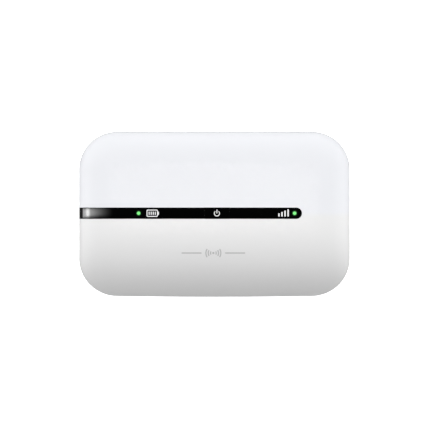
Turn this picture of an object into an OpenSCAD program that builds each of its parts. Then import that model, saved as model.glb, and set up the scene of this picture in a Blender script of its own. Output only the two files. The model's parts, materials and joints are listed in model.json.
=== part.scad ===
// Pocket mobile hotspot: a rounded two-part casing with a black indicator strip across the
// front, a power key in the strip, a clip-on rear cover and a battery that lifts out.
// It lies on its back. X runs left to right, Y towards the top edge, Z out of the front.

/* [Casing] */
// Width of the casing, left to right
body_w = 100; // [98:1:110]
// Depth of the casing, bottom edge to top edge
body_d = 61; // [60:0.5:68]
// Thickness of the casing, back to front
body_t = 14; // [14:0.1:15]
// Radius of the casing's corners, seen from the front
corner_r = 14; // [13.5:0.5:15]
// Radius of the gentle fall from the strip to the bottom edge
fall_r = 200; // [180:10:400]
// Wall of the front shell
shell_wall = 1.4; // [1.3:0.1:1.5]
// Wall of the rear cover
cover_wall = 1.2; // [1.0:0.1:1.3]
// Gap along the parting line
seam = 0.15; // [0.12:0.01:0.2]

/* [Indicator strip] */
// Width of the black strip
strip_w = 4.2; // [3.6:0.1:4.4]
// Rounded end of the strip, right of the casing's centre
strip_end_x = 32.1; // [31.5:0.1:34]
// Height of the strip's centre line above the casing's centre
strip_y = 0.4; // [-0.5:0.1:0.8]
// Thickness of the strip's lens
lens_t = 0.9; // [0.8:0.05:0.95]
// Diameter of the two indicator lights
light_d = 1.75; // [1.5:0.05:1.9]

/* [Power key] */
// Length of the key along the strip
key_l = 9; // [7:0.5:10]
// Centre of the key, right of the casing's centre
key_x = 0.9; // [-1:0.1:2]
// Gap around the key
key_gap = 0.12; // [0.08:0.01:0.15]

/* [Battery] */
// Length of the battery
battery_l = 64; // [60:0.5:64]
// Width of the battery
battery_w = 44; // [40:0.5:44]
// Thickness of the battery
battery_t = 4.4; // [4:0.1:4.4]

/* [USB socket] */
// Centre of the socket along the right side, above the casing's centre
usb_y = 0; // [-0.5:0.1:0.5]
// Width of the opening in the casing
usb_open_w = 8.8; // [8.4:0.1:9.4]
// Height of the opening in the casing
usb_open_h = 3; // [2.8:0.1:3.2]

/* [Hidden] */
$fn = 48;

eps = 0.01;

// Casing: the widest section is at the parting line, and both halves round away from it.
part_z = 6.6;
front_base = part_z + seam;
front_run = 13;
front_fullness = 2.2;
fall_steps = 12;
top_skim = 0.02;
back_run = 9;
back_fullness = 2.4;
rim_steps = 9;
corner_x = body_w / 2 - corner_r;
corner_y = body_d / 2 - corner_r;

// Strip: the lens sits in a seat cut from the outside, on a bed that thickens the wall inside.
lens_sink = 0.03;
lens_gap = 0.05;
tape_t = 0.1;
lens_seat = lens_sink + lens_t + tape_t + 0.02;
bed_t = 0.9;
bed_margin = 1.2;
bed_z = body_t - lens_seat - bed_t;
lens_foot = front_base + 0.6;
light_xs = [-27.8, 29.4];
light_r = light_d / 2;

// Stack of parts, from the back to the front.
battery_z = 1.6;
chassis_z = 6.2;
chassis_t = 1;
chassis_inset = 2.8;
skirt_t = 0.8;
skirt_z = 3.8;
board_z = 8.4;
board_t = 0.8;
board_top = board_z + board_t;
board_inset = 3.6;
can_h = 1.6;
sheet = 0.2;

// Battery bay
battery_x = -9.5;
battery_right = battery_x + battery_l / 2;
bay_gap = 0.4;
bay_wall = 1;
bay_r = 1;
bay_foot = 2.2;

// Screws and their inserts
screw_xy = [39.5, 20];
screw_r = 0.78;
head_r = 1.5;
head_h = 0.7;
boss_r = 2.2;
insert_r = 1.25;
insert_h = 2.2;

// USB socket, soldered under the board's right edge
usb_w = 7.5;
usb_h = 2.5;
usb_l = 5.2;
usb_z = board_z - usb_h / 2 - 0.02;
usb_mouth = 1.2;

// SIM slot, on the underside of the board
sim_l = 15;
sim_w = 14;
sim_x = 35.3;
sim_y = -7;
sim_t = 1.28;
sim_z = board_z - sim_t - 0.02;
sim_window_l = 31;

// Battery contacts and reset key
socket_x = 24;
socket_y = 14;
socket_l = 10;
socket_w = 3;
socket_z = 3.2;
pad_pitch = 2.8;
reset_x = 33;
reset_y = 9;
reset_r = 0.9;
reset_tip_r = 0.65;

// Rear cover clips
tab_w = 5;
tab_t = 0.65;
tab_inset = 1.75;
tab_top = 8;
notch_x = 21;
notch_l = 9;

// ---- shared shapes ----

// A quarter of a superellipse, from the widest section to the front (dir = 1) or the back (dir = -1).
function rim(inset, base_z, rise, run, fullness, dir) = [
    for (k = [0:rim_steps])
        let (t = 90 * k / rim_steps)
        [
            corner_r - run + (run - inset) * pow(cos(t), 2 / fullness),
            base_z + dir * (rise - inset) * pow(sin(t), 2 / fullness)
        ]
];

function front_section(inset, below) =
    let (rise = body_t + top_skim - front_base)
    concat(
        [[0, front_base - below]],
        below > 0 ? [[corner_r - inset, front_base - below]] : [],
        rim(inset, front_base, rise, front_run, front_fullness, 1),
        [[0, front_base + rise - inset]]
    );

function back_section(inset, above) = concat(
    [[0, part_z + above]],
    above > 0 ? [[corner_r - inset, part_z + above]] : [],
    rim(inset, part_z, part_z, back_run, back_fullness, -1),
    [[0, inset]]
);

module mirrored_section(section, reach)
    polygon(concat(
        [for (p = section) [reach + p.x, p.y]],
        [for (k = [len(section) - 1:-1:0]) [-reach - section[k].x, section[k].y]]
    ));

// Sweeps an edge section round the casing's outline and fills the middle.
module rounded_body(section) {
    for (quarter = [0:3]) {
        sx = quarter == 0 || quarter == 3 ? 1 : -1;
        sy = quarter < 2 ? 1 : -1;
        translate([sx * corner_x, sy * corner_y, 0])
            rotate([0, 0, 90 * quarter])
                rotate_extrude(angle = 90) polygon(section);
    }
    rotate([90, 0, 90])
        linear_extrude(height = 2 * corner_x, center = true)
            mirrored_section(section, corner_y);
    rotate([90, 0, 0])
        linear_extrude(height = 2 * corner_y, center = true)
            mirrored_section(section, corner_x);
}

// Side view of the front's surface: level above the strip, falling in an arc below it.
module fall_profile(inset) {
    far = body_d / 2 + 2;
    polygon(concat(
        [[far, -1], [far, body_t - inset]],
        [
            for (k = [0:fall_steps])
                let (y = (far + strip_y) * k / fall_steps)
                [strip_y - y, body_t - inset - y * y / (2 * fall_r)]
        ],
        [[-far, -1]]
    ));
}

// The front half of the casing, shrunk by inset.
module front_solid(inset, below = 0)
    intersection() {
        rounded_body(front_section(inset, below));
        rotate([90, 0, 90])
            linear_extrude(height = body_w + 10, center = true) fall_profile(inset);
    }

module rounded_square(w, d, r) {
    square([w - 2 * r, d], center = true);
    square([w, d - 2 * r], center = true);
    for (sx = [-1, 1], sy = [-1, 1])
        translate([sx * (w / 2 - r), sy * (d / 2 - r)]) circle(r = r);
}

module rounded_plate(w, d, r, h)
    linear_extrude(height = h) rounded_square(w, d, r);

module block(x0, x1, y0, y1, z0, z1)
    translate([x0, y0, z0]) cube([x1 - x0, y1 - y0, z1 - z0]);

module at_screws()
    for (sx = [-1, 1], sy = [-1, 1])
        translate([sx * screw_xy.x, sy * screw_xy.y, 0]) children();

module at_lights(which = [0, 1])
    for (k = which) translate([light_xs[k], strip_y, 0]) children();

// ---- indicator strip ----

module strip_prism(grow, foot) {
    top = body_t + 1;
    left = -body_w / 2 - 1;
    block(left, strip_end_x - strip_w / 2,
        strip_y - strip_w / 2 - grow, strip_y + strip_w / 2 + grow, foot, top);
    translate([strip_end_x - strip_w / 2, strip_y, foot])
        cylinder(r = strip_w / 2 + grow, h = top - foot);
}

module key_prism(grow, z0, z1)
    block(key_x - key_l / 2 - grow, key_x + key_l / 2 + grow,
        strip_y - strip_w / 2 + key_gap - grow, strip_y + strip_w / 2 - key_gap + grow, z0, z1);

// A layer of the strip between two depths below the casing's surface.
module strip_layer(outer, inner, grow, foot)
    difference() {
        intersection() {
            front_solid(outer);
            strip_prism(grow, foot);
        }
        front_solid(inner, below = 1);
    }

module lens_blank()
    difference() {
        strip_layer(lens_sink, lens_sink + lens_t, -lens_gap, lens_foot + lens_gap);
        at_lights() cylinder(r = light_r + 0.04, h = body_t + 1);
    }

module left_of_key()
    block(-body_w / 2 - 1, key_x - key_l / 2 - key_gap, -body_d / 2, body_d / 2, 0, body_t + 1);

module right_of_key()
    block(key_x + key_l / 2 + key_gap, body_w / 2, -body_d / 2, body_d / 2, 0, body_t + 1);

module battery_lens()
    color([0.02, 0.02, 0.03])
        intersection() {
            lens_blank();
            left_of_key();
        }

module signal_lens()
    color([0.02, 0.02, 0.03])
        intersection() {
            lens_blank();
            right_of_key();
        }

module lens_tape()
    color([0.1, 0.1, 0.1])
        difference() {
            depth = lens_sink + lens_t + 0.01;
            strip_layer(depth, depth + tape_t, -0.5, lens_foot + 1);
            key_prism(0.6, 0, body_t + 1);
            at_lights() cylinder(r = light_r + 0.3, h = body_t + 1);
        }

module light_pipe(k)
    color([0.35, 0.95, 0.4])
        at_lights([k]) {
            translate([0, 0, board_top + 0.9])
                cylinder(r = light_r, h = body_t - lens_sink - board_top - 0.9);
            translate([0, 0, bed_z - 0.7]) cylinder(r = light_r + 0.55, h = 0.6);
        }

module led(k)
    color([0.9, 0.95, 0.8])
        at_lights([k]) {
            block(-0.8, 0.8, -0.4, 0.4, board_top, board_top + 0.3);
            block(-0.5, 0.5, -0.4, 0.4, board_top + 0.3, board_top + 0.6);
        }

module light_shrouds()
    color([0.12, 0.12, 0.12])
        at_lights()
            difference() {
                translate([0, 0, board_top]) cylinder(r = 2.1, h = bed_z - 0.8 - board_top);
                cylinder(r = 1.15, h = body_t);
            }

// ---- front shell ----

module boss_posts()
    intersection() {
        at_screws() translate([0, 0, board_top + 0.05]) cylinder(r = boss_r, h = body_t);
        front_solid(shell_wall / 2);
    }

module front_shell()
    color([0.93, 0.93, 0.94])
        difference() {
            union() {
                difference() {
                    front_solid(0);
                    front_solid(shell_wall, below = 1);
                }
                strip_layer(lens_seat, lens_seat + bed_t, bed_margin, front_base);
                boss_posts();
            }
            difference() {
                strip_prism(0, lens_foot);
                front_solid(lens_seat);
            }
            key_prism(key_gap, bed_z - 1, body_t + 1);
            at_lights() cylinder(r = light_r + 0.05, h = body_t);
            at_screws() translate([0, 0, board_top])
                cylinder(r = insert_r, h = insert_h + 0.05);
            usb_opening();
        }

module threaded_inserts()
    color([0.75, 0.6, 0.3])
        at_screws()
            translate([0, 0, board_top + 0.05])
                difference() {
                    cylinder(r = insert_r - 0.02, h = insert_h - 0.05);
                    translate([0, 0, -eps]) cylinder(r = screw_r + 0.04, h = insert_h);
                }

// ---- power key ----

flange_top = bed_z - 0.06;
flange_z = flange_top - 0.6;
plunger_top = board_top + 1.75;

module power_key()
    color([0.02, 0.02, 0.03]) {
        intersection() {
            front_solid(lens_sink);
            key_prism(0, flange_z, body_t + 1);
        }
        block(key_x - key_l / 2 - 1, key_x + key_l / 2 + 1,
            strip_y - strip_w / 2 - 0.8, strip_y + strip_w / 2 + 0.8, flange_z, flange_top);
    }

module key_pad()
    color([0.75, 0.75, 0.72])
        translate([key_x, strip_y, plunger_top])
            cylinder(r = 1.2, h = flange_z - plunger_top);

module power_switch()
    color([0.72, 0.72, 0.74])
        difference() {
            translate([key_x, strip_y, board_top]) {
                rounded_plate(4.5, 3.4, 0.4, 1.3);
                for (sx = [-1, 1])
                    block(sx * 2.6 - 0.5, sx * 2.6 + 0.5, -1.1, 1.1, 0, 0.25);
            }
            translate([key_x, strip_y, board_top + 0.5]) cylinder(r = 1.05, h = 2);
        }

module power_switch_plunger()
    color([0.1, 0.1, 0.1])
        translate([key_x, strip_y, board_top + 1])
            cylinder(r = 0.95, h = plunger_top - board_top - 1);

// ---- main board and what is on it ----

module main_board()
    color([0.05, 0.3, 0.18])
        difference() {
            translate([0, 0, board_z])
                rounded_plate(body_w - 2 * board_inset, body_d - 2 * board_inset,
                    corner_r - board_inset, board_t);
            at_screws() cylinder(r = 1, h = body_t);
        }

// Each can is [centre x, centre y, length, width].
baseband_can = [-18, 14.5, 30, 18];
rf_can = [18, 14.5, 30, 18];
wifi_can = [24, -14.5, 20, 16];
power_can = [-22, -14.5, 24, 16];

module shield(can)
    color([0.76, 0.77, 0.79])
        translate([can[0], can[1], board_top])
            difference() {
                rounded_plate(can[2], can[3], 1, can_h);
                translate([0, 0, -eps])
                    rounded_plate(can[2] - 2 * sheet, can[3] - 2 * sheet, 0.8, can_h - sheet);
                for (ix = [-1:1], iy = [-1, 1])
                    translate([ix * can[2] / 3.4, iy * can[3] / 3.2, 0])
                        cylinder(r = 0.5, h = can_h + 1, $fn = 24);
            }

module chip(can, dx, dy, size, h)
    color([0.08, 0.08, 0.09])
        translate([can[0] + dx, can[1] + dy, board_top])
            difference() {
                rounded_plate(size.x, size.y, 0.2, h);
                translate([-size.x / 2 + 0.9, size.y / 2 - 0.9, h - 0.08])
                    cylinder(r = 0.35, h = 1, $fn = 24);
            }

module baseband_chip() chip(baseband_can, -6, 0, [12, 12], 1);
module memory_chip() chip(baseband_can, 8, 0, [9, 11], 0.9);
module rf_chip() chip(rf_can, -4, 1, [8, 8], 0.9);
module wifi_chip() chip(wifi_can, -2, 0, [7, 7], 0.85);
module power_chip() chip(power_can, 2, 0, [8, 8], 0.9);

module crystal()
    color([0.8, 0.8, 0.82])
        translate([rf_can[0] + 8, rf_can[1], board_top]) rounded_plate(3.2, 2.5, 0.4, 0.7);

// Small chip capacitors and resistors, in rows beside the larger parts.
module board_passives()
    color([0.6, 0.5, 0.4]) {
        for (k = [0:17]) translate([-33.5 + 2.4 * k + (k > 9 ? 18.4 : 0), -4.65, board_top])
            cube([1, 0.5, 0.5]);
        for (k = [0:3]) translate([-0.3, 8.4 + 3 * k, board_top]) cube([0.6, 1.2, 0.6]);
        for (k = [0:2]) translate([power_can[0] - 8, power_can[1] - 4 + 4 * k, board_top])
            translate([-0.8, -0.6, 0]) cube([1.6, 1.2, 0.8]);
        for (k = [0:2]) translate([wifi_can[0] + 6, wifi_can[1] - 4 + 4 * k, board_top])
            translate([-0.5, -0.3, 0]) cube([1, 0.6, 0.5]);
    }

module thermal_pad()
    color([0.45, 0.55, 0.65])
        translate([baseband_can[0] - 2, baseband_can[1] - 3.5, board_top + can_h])
            rounded_plate(14, 8, 0.5, 0.45);

// ---- antennas ----

antenna_l = 60;
antenna_w = 3.2;
antenna_y = body_d / 2 - chassis_inset - 2.2;

module main_antenna()
    color([0.8, 0.5, 0.3])
        translate([0, antenna_y, chassis_z + chassis_t])
            difference() {
                translate([-antenna_l / 2, -antenna_w / 2, 0]) cube([antenna_l, antenna_w, 0.12]);
                for (k = [-5:5])
                    translate([5 * k - 0.35, k % 2 == 0 ? -antenna_w / 2 - eps : -0.9, -eps])
                        cube([0.7, antenna_w - 0.7, 1]);
            }

module wifi_antenna()
    color([0.8, 0.78, 0.7]) {
        block(-44.6, -44.4, -7, 7, board_top, board_top + 1.2);
        block(-44.6, -42, -7, 7, board_top + 1.2, board_top + 1.4);
        block(-42.2, -42, -7, -6, board_top, board_top + 1.4);
    }

// A C-shaped contact spring that presses on the antenna from the board.
module antenna_spring()
    rotate([90, 0, 0])
        linear_extrude(height = 1, center = true)
            polygon([[0, 0], [2.2, 0], [2.2, -0.6], [1.6, -1.06], [0.5, -1.06], [0.5, -0.94],
                [1.55, -0.94], [2.08, -0.54], [2.08, -0.12], [0, -0.12]]);

module antenna_springs()
    color([0.85, 0.7, 0.35])
        for (x = [-27, -2, 23])
            translate([x, antenna_y, board_z - 0.01]) antenna_spring();

// ---- USB socket ----

// The socket is drawn facing -Y with its mouth at the origin, and turned to face right.
module at_usb()
    translate([body_w / 2 - usb_mouth, usb_y, usb_z]) rotate([0, 0, 90]) children();

module usb_opening()
    at_usb()
        translate([0, 4, 0])
            rotate([90, 0, 0]) rounded_plate(usb_open_w, usb_open_h, usb_open_h / 2 - 0.2, 7);

module usb_section(shrink) {
    half_w = usb_w / 2 - shrink;
    half_h = usb_h / 2 - shrink;
    polygon([
        [-half_w, -half_h], [half_w, -half_h], [half_w, 0.2 - shrink / 3],
        [half_w - 0.95 + shrink / 2, half_h], [-half_w + 0.95 - shrink / 2, half_h],
        [-half_w, 0.2 - shrink / 3]
    ]);
}

module usb_run(y, length, shrink)
    translate([0, y + length, 0])
        rotate([90, 0, 0]) linear_extrude(height = length) usb_section(shrink);

module usb_shell()
    color([0.78, 0.78, 0.8])
        at_usb()
            difference() {
                union() {
                    usb_run(0, usb_l, 0);
                    for (sx = [-1, 1])
                        translate([sx * (usb_w / 2 + 0.4), 3.2, usb_h / 2 - 0.25])
                            linear_extrude(height = 0.25) square([1.4, 1.6], center = true);
                }
                usb_run(-1, usb_l + 0.7, 0.3);
            }

module usb_tongue()
    color([0.06, 0.06, 0.06])
        at_usb() {
            usb_run(usb_l - 1.5, 1.15, 0.34);
            block(-1.85, 1.85, 0.9, usb_l - 1.5 + eps, 0.1, 0.6);
        }

module usb_contacts()
    color([0.85, 0.7, 0.35])
        at_usb()
            for (k = [-2:2])
                block(0.65 * k - 0.12, 0.65 * k + 0.12, 1.1, usb_l - 1.52, 0, 0.09);

// ---- SIM slot ----

module sim_cage()
    color([0.8, 0.8, 0.82])
        translate([sim_x, sim_y, sim_z])
            difference() {
                translate([-sim_l / 2, -sim_w / 2, 0]) cube([sim_l, sim_w, sim_t]);
                translate([-sim_l / 2 - 1, -sim_w / 2 + sheet, sheet])
                    cube([sim_l + 1 - sheet, sim_w - 2 * sheet, sim_t]);
                translate([-sim_l / 2 - 1, -4, -1]) cube([5, 8, sim_t]);
                for (sy = [-1, 1])
                    translate([1, sy * 4.4, -1]) rounded_plate(7, 1.4, 0.6, 2);
            }

module sim_base()
    color([0.1, 0.1, 0.1])
        block(sim_x - sim_l / 2 + 0.3, sim_x + sim_l / 2 - sheet - 0.05,
            sim_y - sim_w / 2 + sheet + 0.05, sim_y + sim_w / 2 - sheet - 0.05,
            sim_z + sim_t - 0.3, sim_z + sim_t);

module sim_contacts()
    color([0.85, 0.7, 0.35])
        for (ix = [-1:1], sy = [-1, 1])
            translate([sim_x - 0.5 + 2.54 * ix, sim_y + sy * 3.2, sim_z + sim_t - 0.42])
                translate([-0.4, -1.2, 0]) cube([0.8, 2.4, 0.11]);

// ---- battery contacts and reset switch ----

module battery_socket()
    color([0.1, 0.1, 0.1])
        difference() {
            block(socket_x, socket_x + socket_w, socket_y - socket_l / 2, socket_y + socket_l / 2,
                socket_z, board_z - 0.02);
            for (k = [-1:1])
                block(socket_x - 1, socket_x + 1.4, socket_y + pad_pitch * k - 0.75,
                    socket_y + pad_pitch * k + 0.75, socket_z + 0.4, chassis_z - 0.6);
        }

module battery_springs()
    color([0.85, 0.7, 0.35])
        for (k = [-1:1])
            translate([0, socket_y + pad_pitch * k + 0.5, socket_z + 0.55])
                rotate([90, 0, 0])
                    linear_extrude(height = 1)
                        polygon([[socket_x + 1.35, 0], [socket_x + 1.35, 1.7], [socket_x + 1.2, 1.7],
                            [socket_x + 1.2, 0.2], [socket_x, 0.5], [battery_right + 0.2, 0.95],
                            [battery_right + 0.08, 1.15], [battery_right + 0.25, 1.4],
                            [battery_right + 0.15, 1.5], [battery_right + 0.05 - eps, 1.2],
                            [battery_right + 0.06, 0.9], [socket_x - 0.1, 0.35]]);

module reset_switch()
    color([0.72, 0.72, 0.74])
        difference() {
            translate([reset_x, reset_y, board_z - 0.95]) rounded_plate(3, 3, 0.3, 0.93);
            translate([reset_x, reset_y, board_z - 1]) cylinder(r = reset_tip_r + 0.1, h = 0.75);
        }

module reset_key()
    color([0.1, 0.1, 0.1])
        translate([reset_x, reset_y, 0]) {
            translate([0, 0, chassis_z + 0.15]) cylinder(r = reset_r, h = board_z - 1.45 - chassis_z);
            translate([0, 0, board_z - 1.3 - eps]) cylinder(r = reset_tip_r, h = 0.7);
        }

// ---- chassis ----

module bay_outline(grow)
    translate([battery_x, 0])
        rounded_square(battery_l + 2 * (bay_gap + grow), battery_w + 2 * (bay_gap + grow),
            bay_r + grow);

module chassis_outline(inset)
    rounded_square(body_w - 2 * inset, body_d - 2 * inset, corner_r - inset);

module chassis()
    color([0.9, 0.9, 0.91])
        difference() {
            union() {
                translate([0, 0, chassis_z])
                    linear_extrude(height = chassis_t) chassis_outline(chassis_inset);
                translate([0, 0, skirt_z])
                    linear_extrude(height = chassis_z - skirt_z + eps)
                        difference() {
                            chassis_outline(chassis_inset);
                            chassis_outline(chassis_inset + skirt_t);
                        }
                translate([0, 0, bay_foot])
                    linear_extrude(height = chassis_z - bay_foot + eps)
                        difference() {
                            bay_outline(bay_wall);
                            bay_outline(0);
                        }
                at_screws() translate([0, 0, chassis_z])
                    cylinder(r = boss_r, h = board_z - 0.02 - chassis_z);
                for (x = [30, 41], y = [-26, 26])
                    block(x - 0.4, x + 0.4, min(y, 0.9 * y), max(y, 0.9 * y),
                        skirt_z + 0.4, chassis_z + eps);
            }
            at_screws() cylinder(r = screw_r + 0.15, h = body_t);
            at_screws() translate([0, 0, chassis_z - eps])
                cylinder(r = head_r + 0.12, h = head_h + 0.25);
            translate([sim_x + sim_l / 2 + 0.3 - sim_window_l / 2, sim_y, chassis_z - eps])
                rounded_plate(sim_window_l, sim_w + 0.8, 1, chassis_t + 1);
            block(socket_x - 0.05, socket_x + socket_w + 0.1, socket_y - socket_l / 2 - 0.1,
                socket_y + socket_l / 2 + 0.1, chassis_z - 1, board_z);
            block(socket_x - 3, socket_x - 0.05, socket_y - socket_l / 2 + 0.5,
                socket_y + socket_l / 2 - 0.5, bay_foot + 0.5, chassis_z - 0.4);
            translate([reset_x, reset_y, 0]) cylinder(r = reset_r + 0.15, h = body_t);
            block(sim_x + sim_l / 2, body_w / 2, usb_y - usb_w / 2 - 1.4, usb_y + usb_w / 2 + 1.4,
                usb_z - usb_h / 2 - 0.3, board_z);
        }

module device_label()
    color([0.96, 0.96, 0.95])
        translate([-18, 0, chassis_z - 0.1]) rounded_plate(38, 24, 1, 0.1);

module moisture_dot()
    color([0.97, 0.95, 0.95])
        translate([8, 16, chassis_z - 0.1]) cylinder(r = 2, h = 0.1);

module chassis_screws()
    color([0.5, 0.5, 0.52])
        at_screws()
            difference() {
                union() {
                    translate([0, 0, chassis_z + 0.2]) cylinder(r = head_r, h = head_h);
                    translate([0, 0, chassis_z + 0.2 + head_h - eps])
                        cylinder(r = screw_r, h = board_top + insert_h - 0.2 - chassis_z - head_h);
                }
                for (turn = [0, 90])
                    translate([0, 0, chassis_z]) rotate([0, 0, turn])
                        translate([-0.9, -0.2, 0]) cube([1.8, 0.4, 0.6]);
            }

// ---- battery ----

battery_top = battery_z + battery_t;
header_l = 2.8;
tail_l = 2.4;
wrap = 0.1;

module battery_piece(x0, x1, shrink)
    translate([(x0 + x1) / 2, 0, battery_z + shrink])
        linear_extrude(height = battery_t - 2 * shrink)
            rounded_square(x1 - x0, battery_w - 2 * shrink, 0.8);

module battery_cell()
    color([0.75, 0.76, 0.78])
        battery_piece(battery_right - battery_l + tail_l + 0.02, battery_right - header_l - 0.02,
            wrap + 0.02);

module battery_label()
    color([0.15, 0.16, 0.18])
        difference() {
            battery_piece(battery_right - battery_l + tail_l + 0.05,
                battery_right - header_l - 0.05, 0);
            block(-body_w, body_w, -battery_w / 2 + wrap, battery_w / 2 - wrap,
                battery_z + wrap, battery_top - wrap);
        }

module battery_header()
    color([0.08, 0.08, 0.08])
        difference() {
            battery_piece(battery_right - header_l, battery_right, 0.05);
            for (k = [-1:1])
                block(battery_right - 0.3, battery_right + 1, socket_y + pad_pitch * k - 0.8,
                    socket_y + pad_pitch * k + 0.8, battery_z + 1, battery_top - 1);
        }

module battery_tail_cap()
    color([0.08, 0.08, 0.08])
        battery_piece(battery_right - battery_l, battery_right - battery_l + tail_l, 0.05);

module battery_pads()
    color([0.85, 0.7, 0.35])
        for (k = [-1:1])
            block(battery_right - 0.28, battery_right - 0.08, socket_y + pad_pitch * k - 0.75,
                socket_y + pad_pitch * k + 0.75, battery_z + 1.05, battery_top - 1.05);

// ---- rear cover ----

// Clip blades that slip inside the front shell, on the long sides and then the short sides.
module cover_tabs() {
    for (x = [-30, -12, 12, 30], sy = [-1, 1])
        translate([x, sy * (body_d / 2 - tab_inset), 0]) rotate([0, 0, sy > 0 ? 0 : 180])
            cover_tab();
    for (y = [-8, 8], sx = [-1, 1])
        translate([sx * (body_w / 2 - tab_inset), y, 0]) rotate([0, 0, sx > 0 ? -90 : 90])
            cover_tab();
}

module cover_tab() {
    block(-tab_w / 2, tab_w / 2, -tab_t, 0, part_z - 0.6, tab_top);
    block(-tab_w / 2, tab_w / 2, -tab_t, tab_inset - cover_wall + 0.2, part_z - 1.4, part_z - 0.3);
}

module rear_cover()
    color([0.93, 0.93, 0.94])
        difference() {
            union() {
                difference() {
                    rounded_body(back_section(0, 0));
                    rounded_body(back_section(cover_wall, 1));
                }
                cover_tabs();
            }
            usb_opening();
            translate([notch_x, -body_d / 2 - 0.6, part_z + 0.9])
                rotate([0, 90, 0]) cylinder(r = 1.7, h = notch_l, center = true);
        }

module cover_foam()
    color([0.2, 0.2, 0.2])
        for (y = [-12, 12])
            translate([battery_x, y, cover_wall]) rounded_plate(40, 6, 1, battery_z - cover_wall - 0.05);

// ---- nodes ----

front_shell();
battery_lens();
signal_lens();
lens_tape();
light_pipe(0);  // battery_light_pipe
light_pipe(1);  // signal_light_pipe
led(0);  // battery_led
led(1);  // signal_led
light_shrouds();
power_key();
key_pad();
power_switch();
power_switch_plunger();
main_board();
shield(baseband_can);  // baseband_shield
shield(rf_can);  // rf_shield
shield(wifi_can);  // wifi_shield
shield(power_can);  // power_shield
baseband_chip();
memory_chip();
rf_chip();
wifi_chip();
power_chip();
crystal();
board_passives();
thermal_pad();
main_antenna();
wifi_antenna();
antenna_springs();
usb_shell();
usb_tongue();
usb_contacts();
sim_cage();
sim_base();
sim_contacts();
battery_socket();
battery_springs();
chassis();
device_label();
moisture_dot();
reset_switch();
reset_key();
threaded_inserts();
chassis_screws();
battery_cell();
battery_label();
battery_header();
battery_tail_cap();
battery_pads();
rear_cover();
cover_foam();
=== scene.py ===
"""Looks of a pocket mobile hotspot.

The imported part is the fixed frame. The two halves of the casing, the strip's lenses, the power key, the
printed symbols and the socket's rim are modelled here in finer detail, and every carried-over piece gets
a finish. Units are metres: MM turns a size in millimetres into metres.
"""

import json
import logging
import math
from contextlib import contextmanager
from dataclasses import dataclass
from enum import Enum
from typing import Any, Callable, Iterable, Iterator, Optional, Sequence, Union

import bmesh
import bpy
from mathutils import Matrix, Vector


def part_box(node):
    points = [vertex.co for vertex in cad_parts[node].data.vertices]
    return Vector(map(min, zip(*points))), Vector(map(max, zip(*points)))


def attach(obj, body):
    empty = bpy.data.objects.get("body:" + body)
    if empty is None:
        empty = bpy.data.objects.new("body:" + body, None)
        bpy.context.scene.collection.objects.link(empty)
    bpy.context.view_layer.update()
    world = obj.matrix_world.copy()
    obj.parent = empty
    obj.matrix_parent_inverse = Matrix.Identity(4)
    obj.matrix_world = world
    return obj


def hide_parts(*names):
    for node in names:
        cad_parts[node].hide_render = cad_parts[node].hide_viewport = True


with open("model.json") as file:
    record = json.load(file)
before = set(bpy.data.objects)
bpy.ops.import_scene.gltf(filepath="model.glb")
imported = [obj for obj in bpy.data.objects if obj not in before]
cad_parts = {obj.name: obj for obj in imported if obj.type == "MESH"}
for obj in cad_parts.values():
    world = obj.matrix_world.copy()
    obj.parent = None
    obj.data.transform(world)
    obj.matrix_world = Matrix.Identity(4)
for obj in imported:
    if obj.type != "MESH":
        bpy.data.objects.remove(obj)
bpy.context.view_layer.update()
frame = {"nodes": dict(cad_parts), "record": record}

MM = 0.001
log = logging.getLogger("hotspot")

Colour = tuple[float, float, float]
Number = Union[int, float]


# ---------------------------------------------------------------------------------------------
# Modelling by hand: one mesh object, shaped by edit-mode operators and applied modifiers
# ---------------------------------------------------------------------------------------------


class Element(Enum):
    """Kinds of mesh element that a pick can work on."""

    VERTEX = "VERT"
    EDGE = "EDGE"
    FACE = "FACE"


class Join(Enum):
    """Ways in which one solid is combined with another."""

    CUT = "DIFFERENCE"
    ADD = "UNION"
    KEEP_COMMON = "INTERSECT"


Test = Callable[[Any], bool]


def everything(_element: Any) -> bool:
    """Picks every element."""
    return True


def above(height: float) -> Test:
    """Makes a test that picks what lies wholly above a height."""
    return lambda element: all(vertex.co.z > height for vertex in element.verts)


def runs_along(axis: int, length: float) -> Test:
    """Makes a test that picks edges that run further than a length along axis 0, 1 or 2."""
    return lambda edge: abs(edge.verts[0].co[axis] - edge.verts[1].co[axis]) > length


def middle_of(edge: Any) -> Vector:
    """Gives an edge's middle."""
    return (edge.verts[0].co + edge.verts[1].co) / 2


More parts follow.
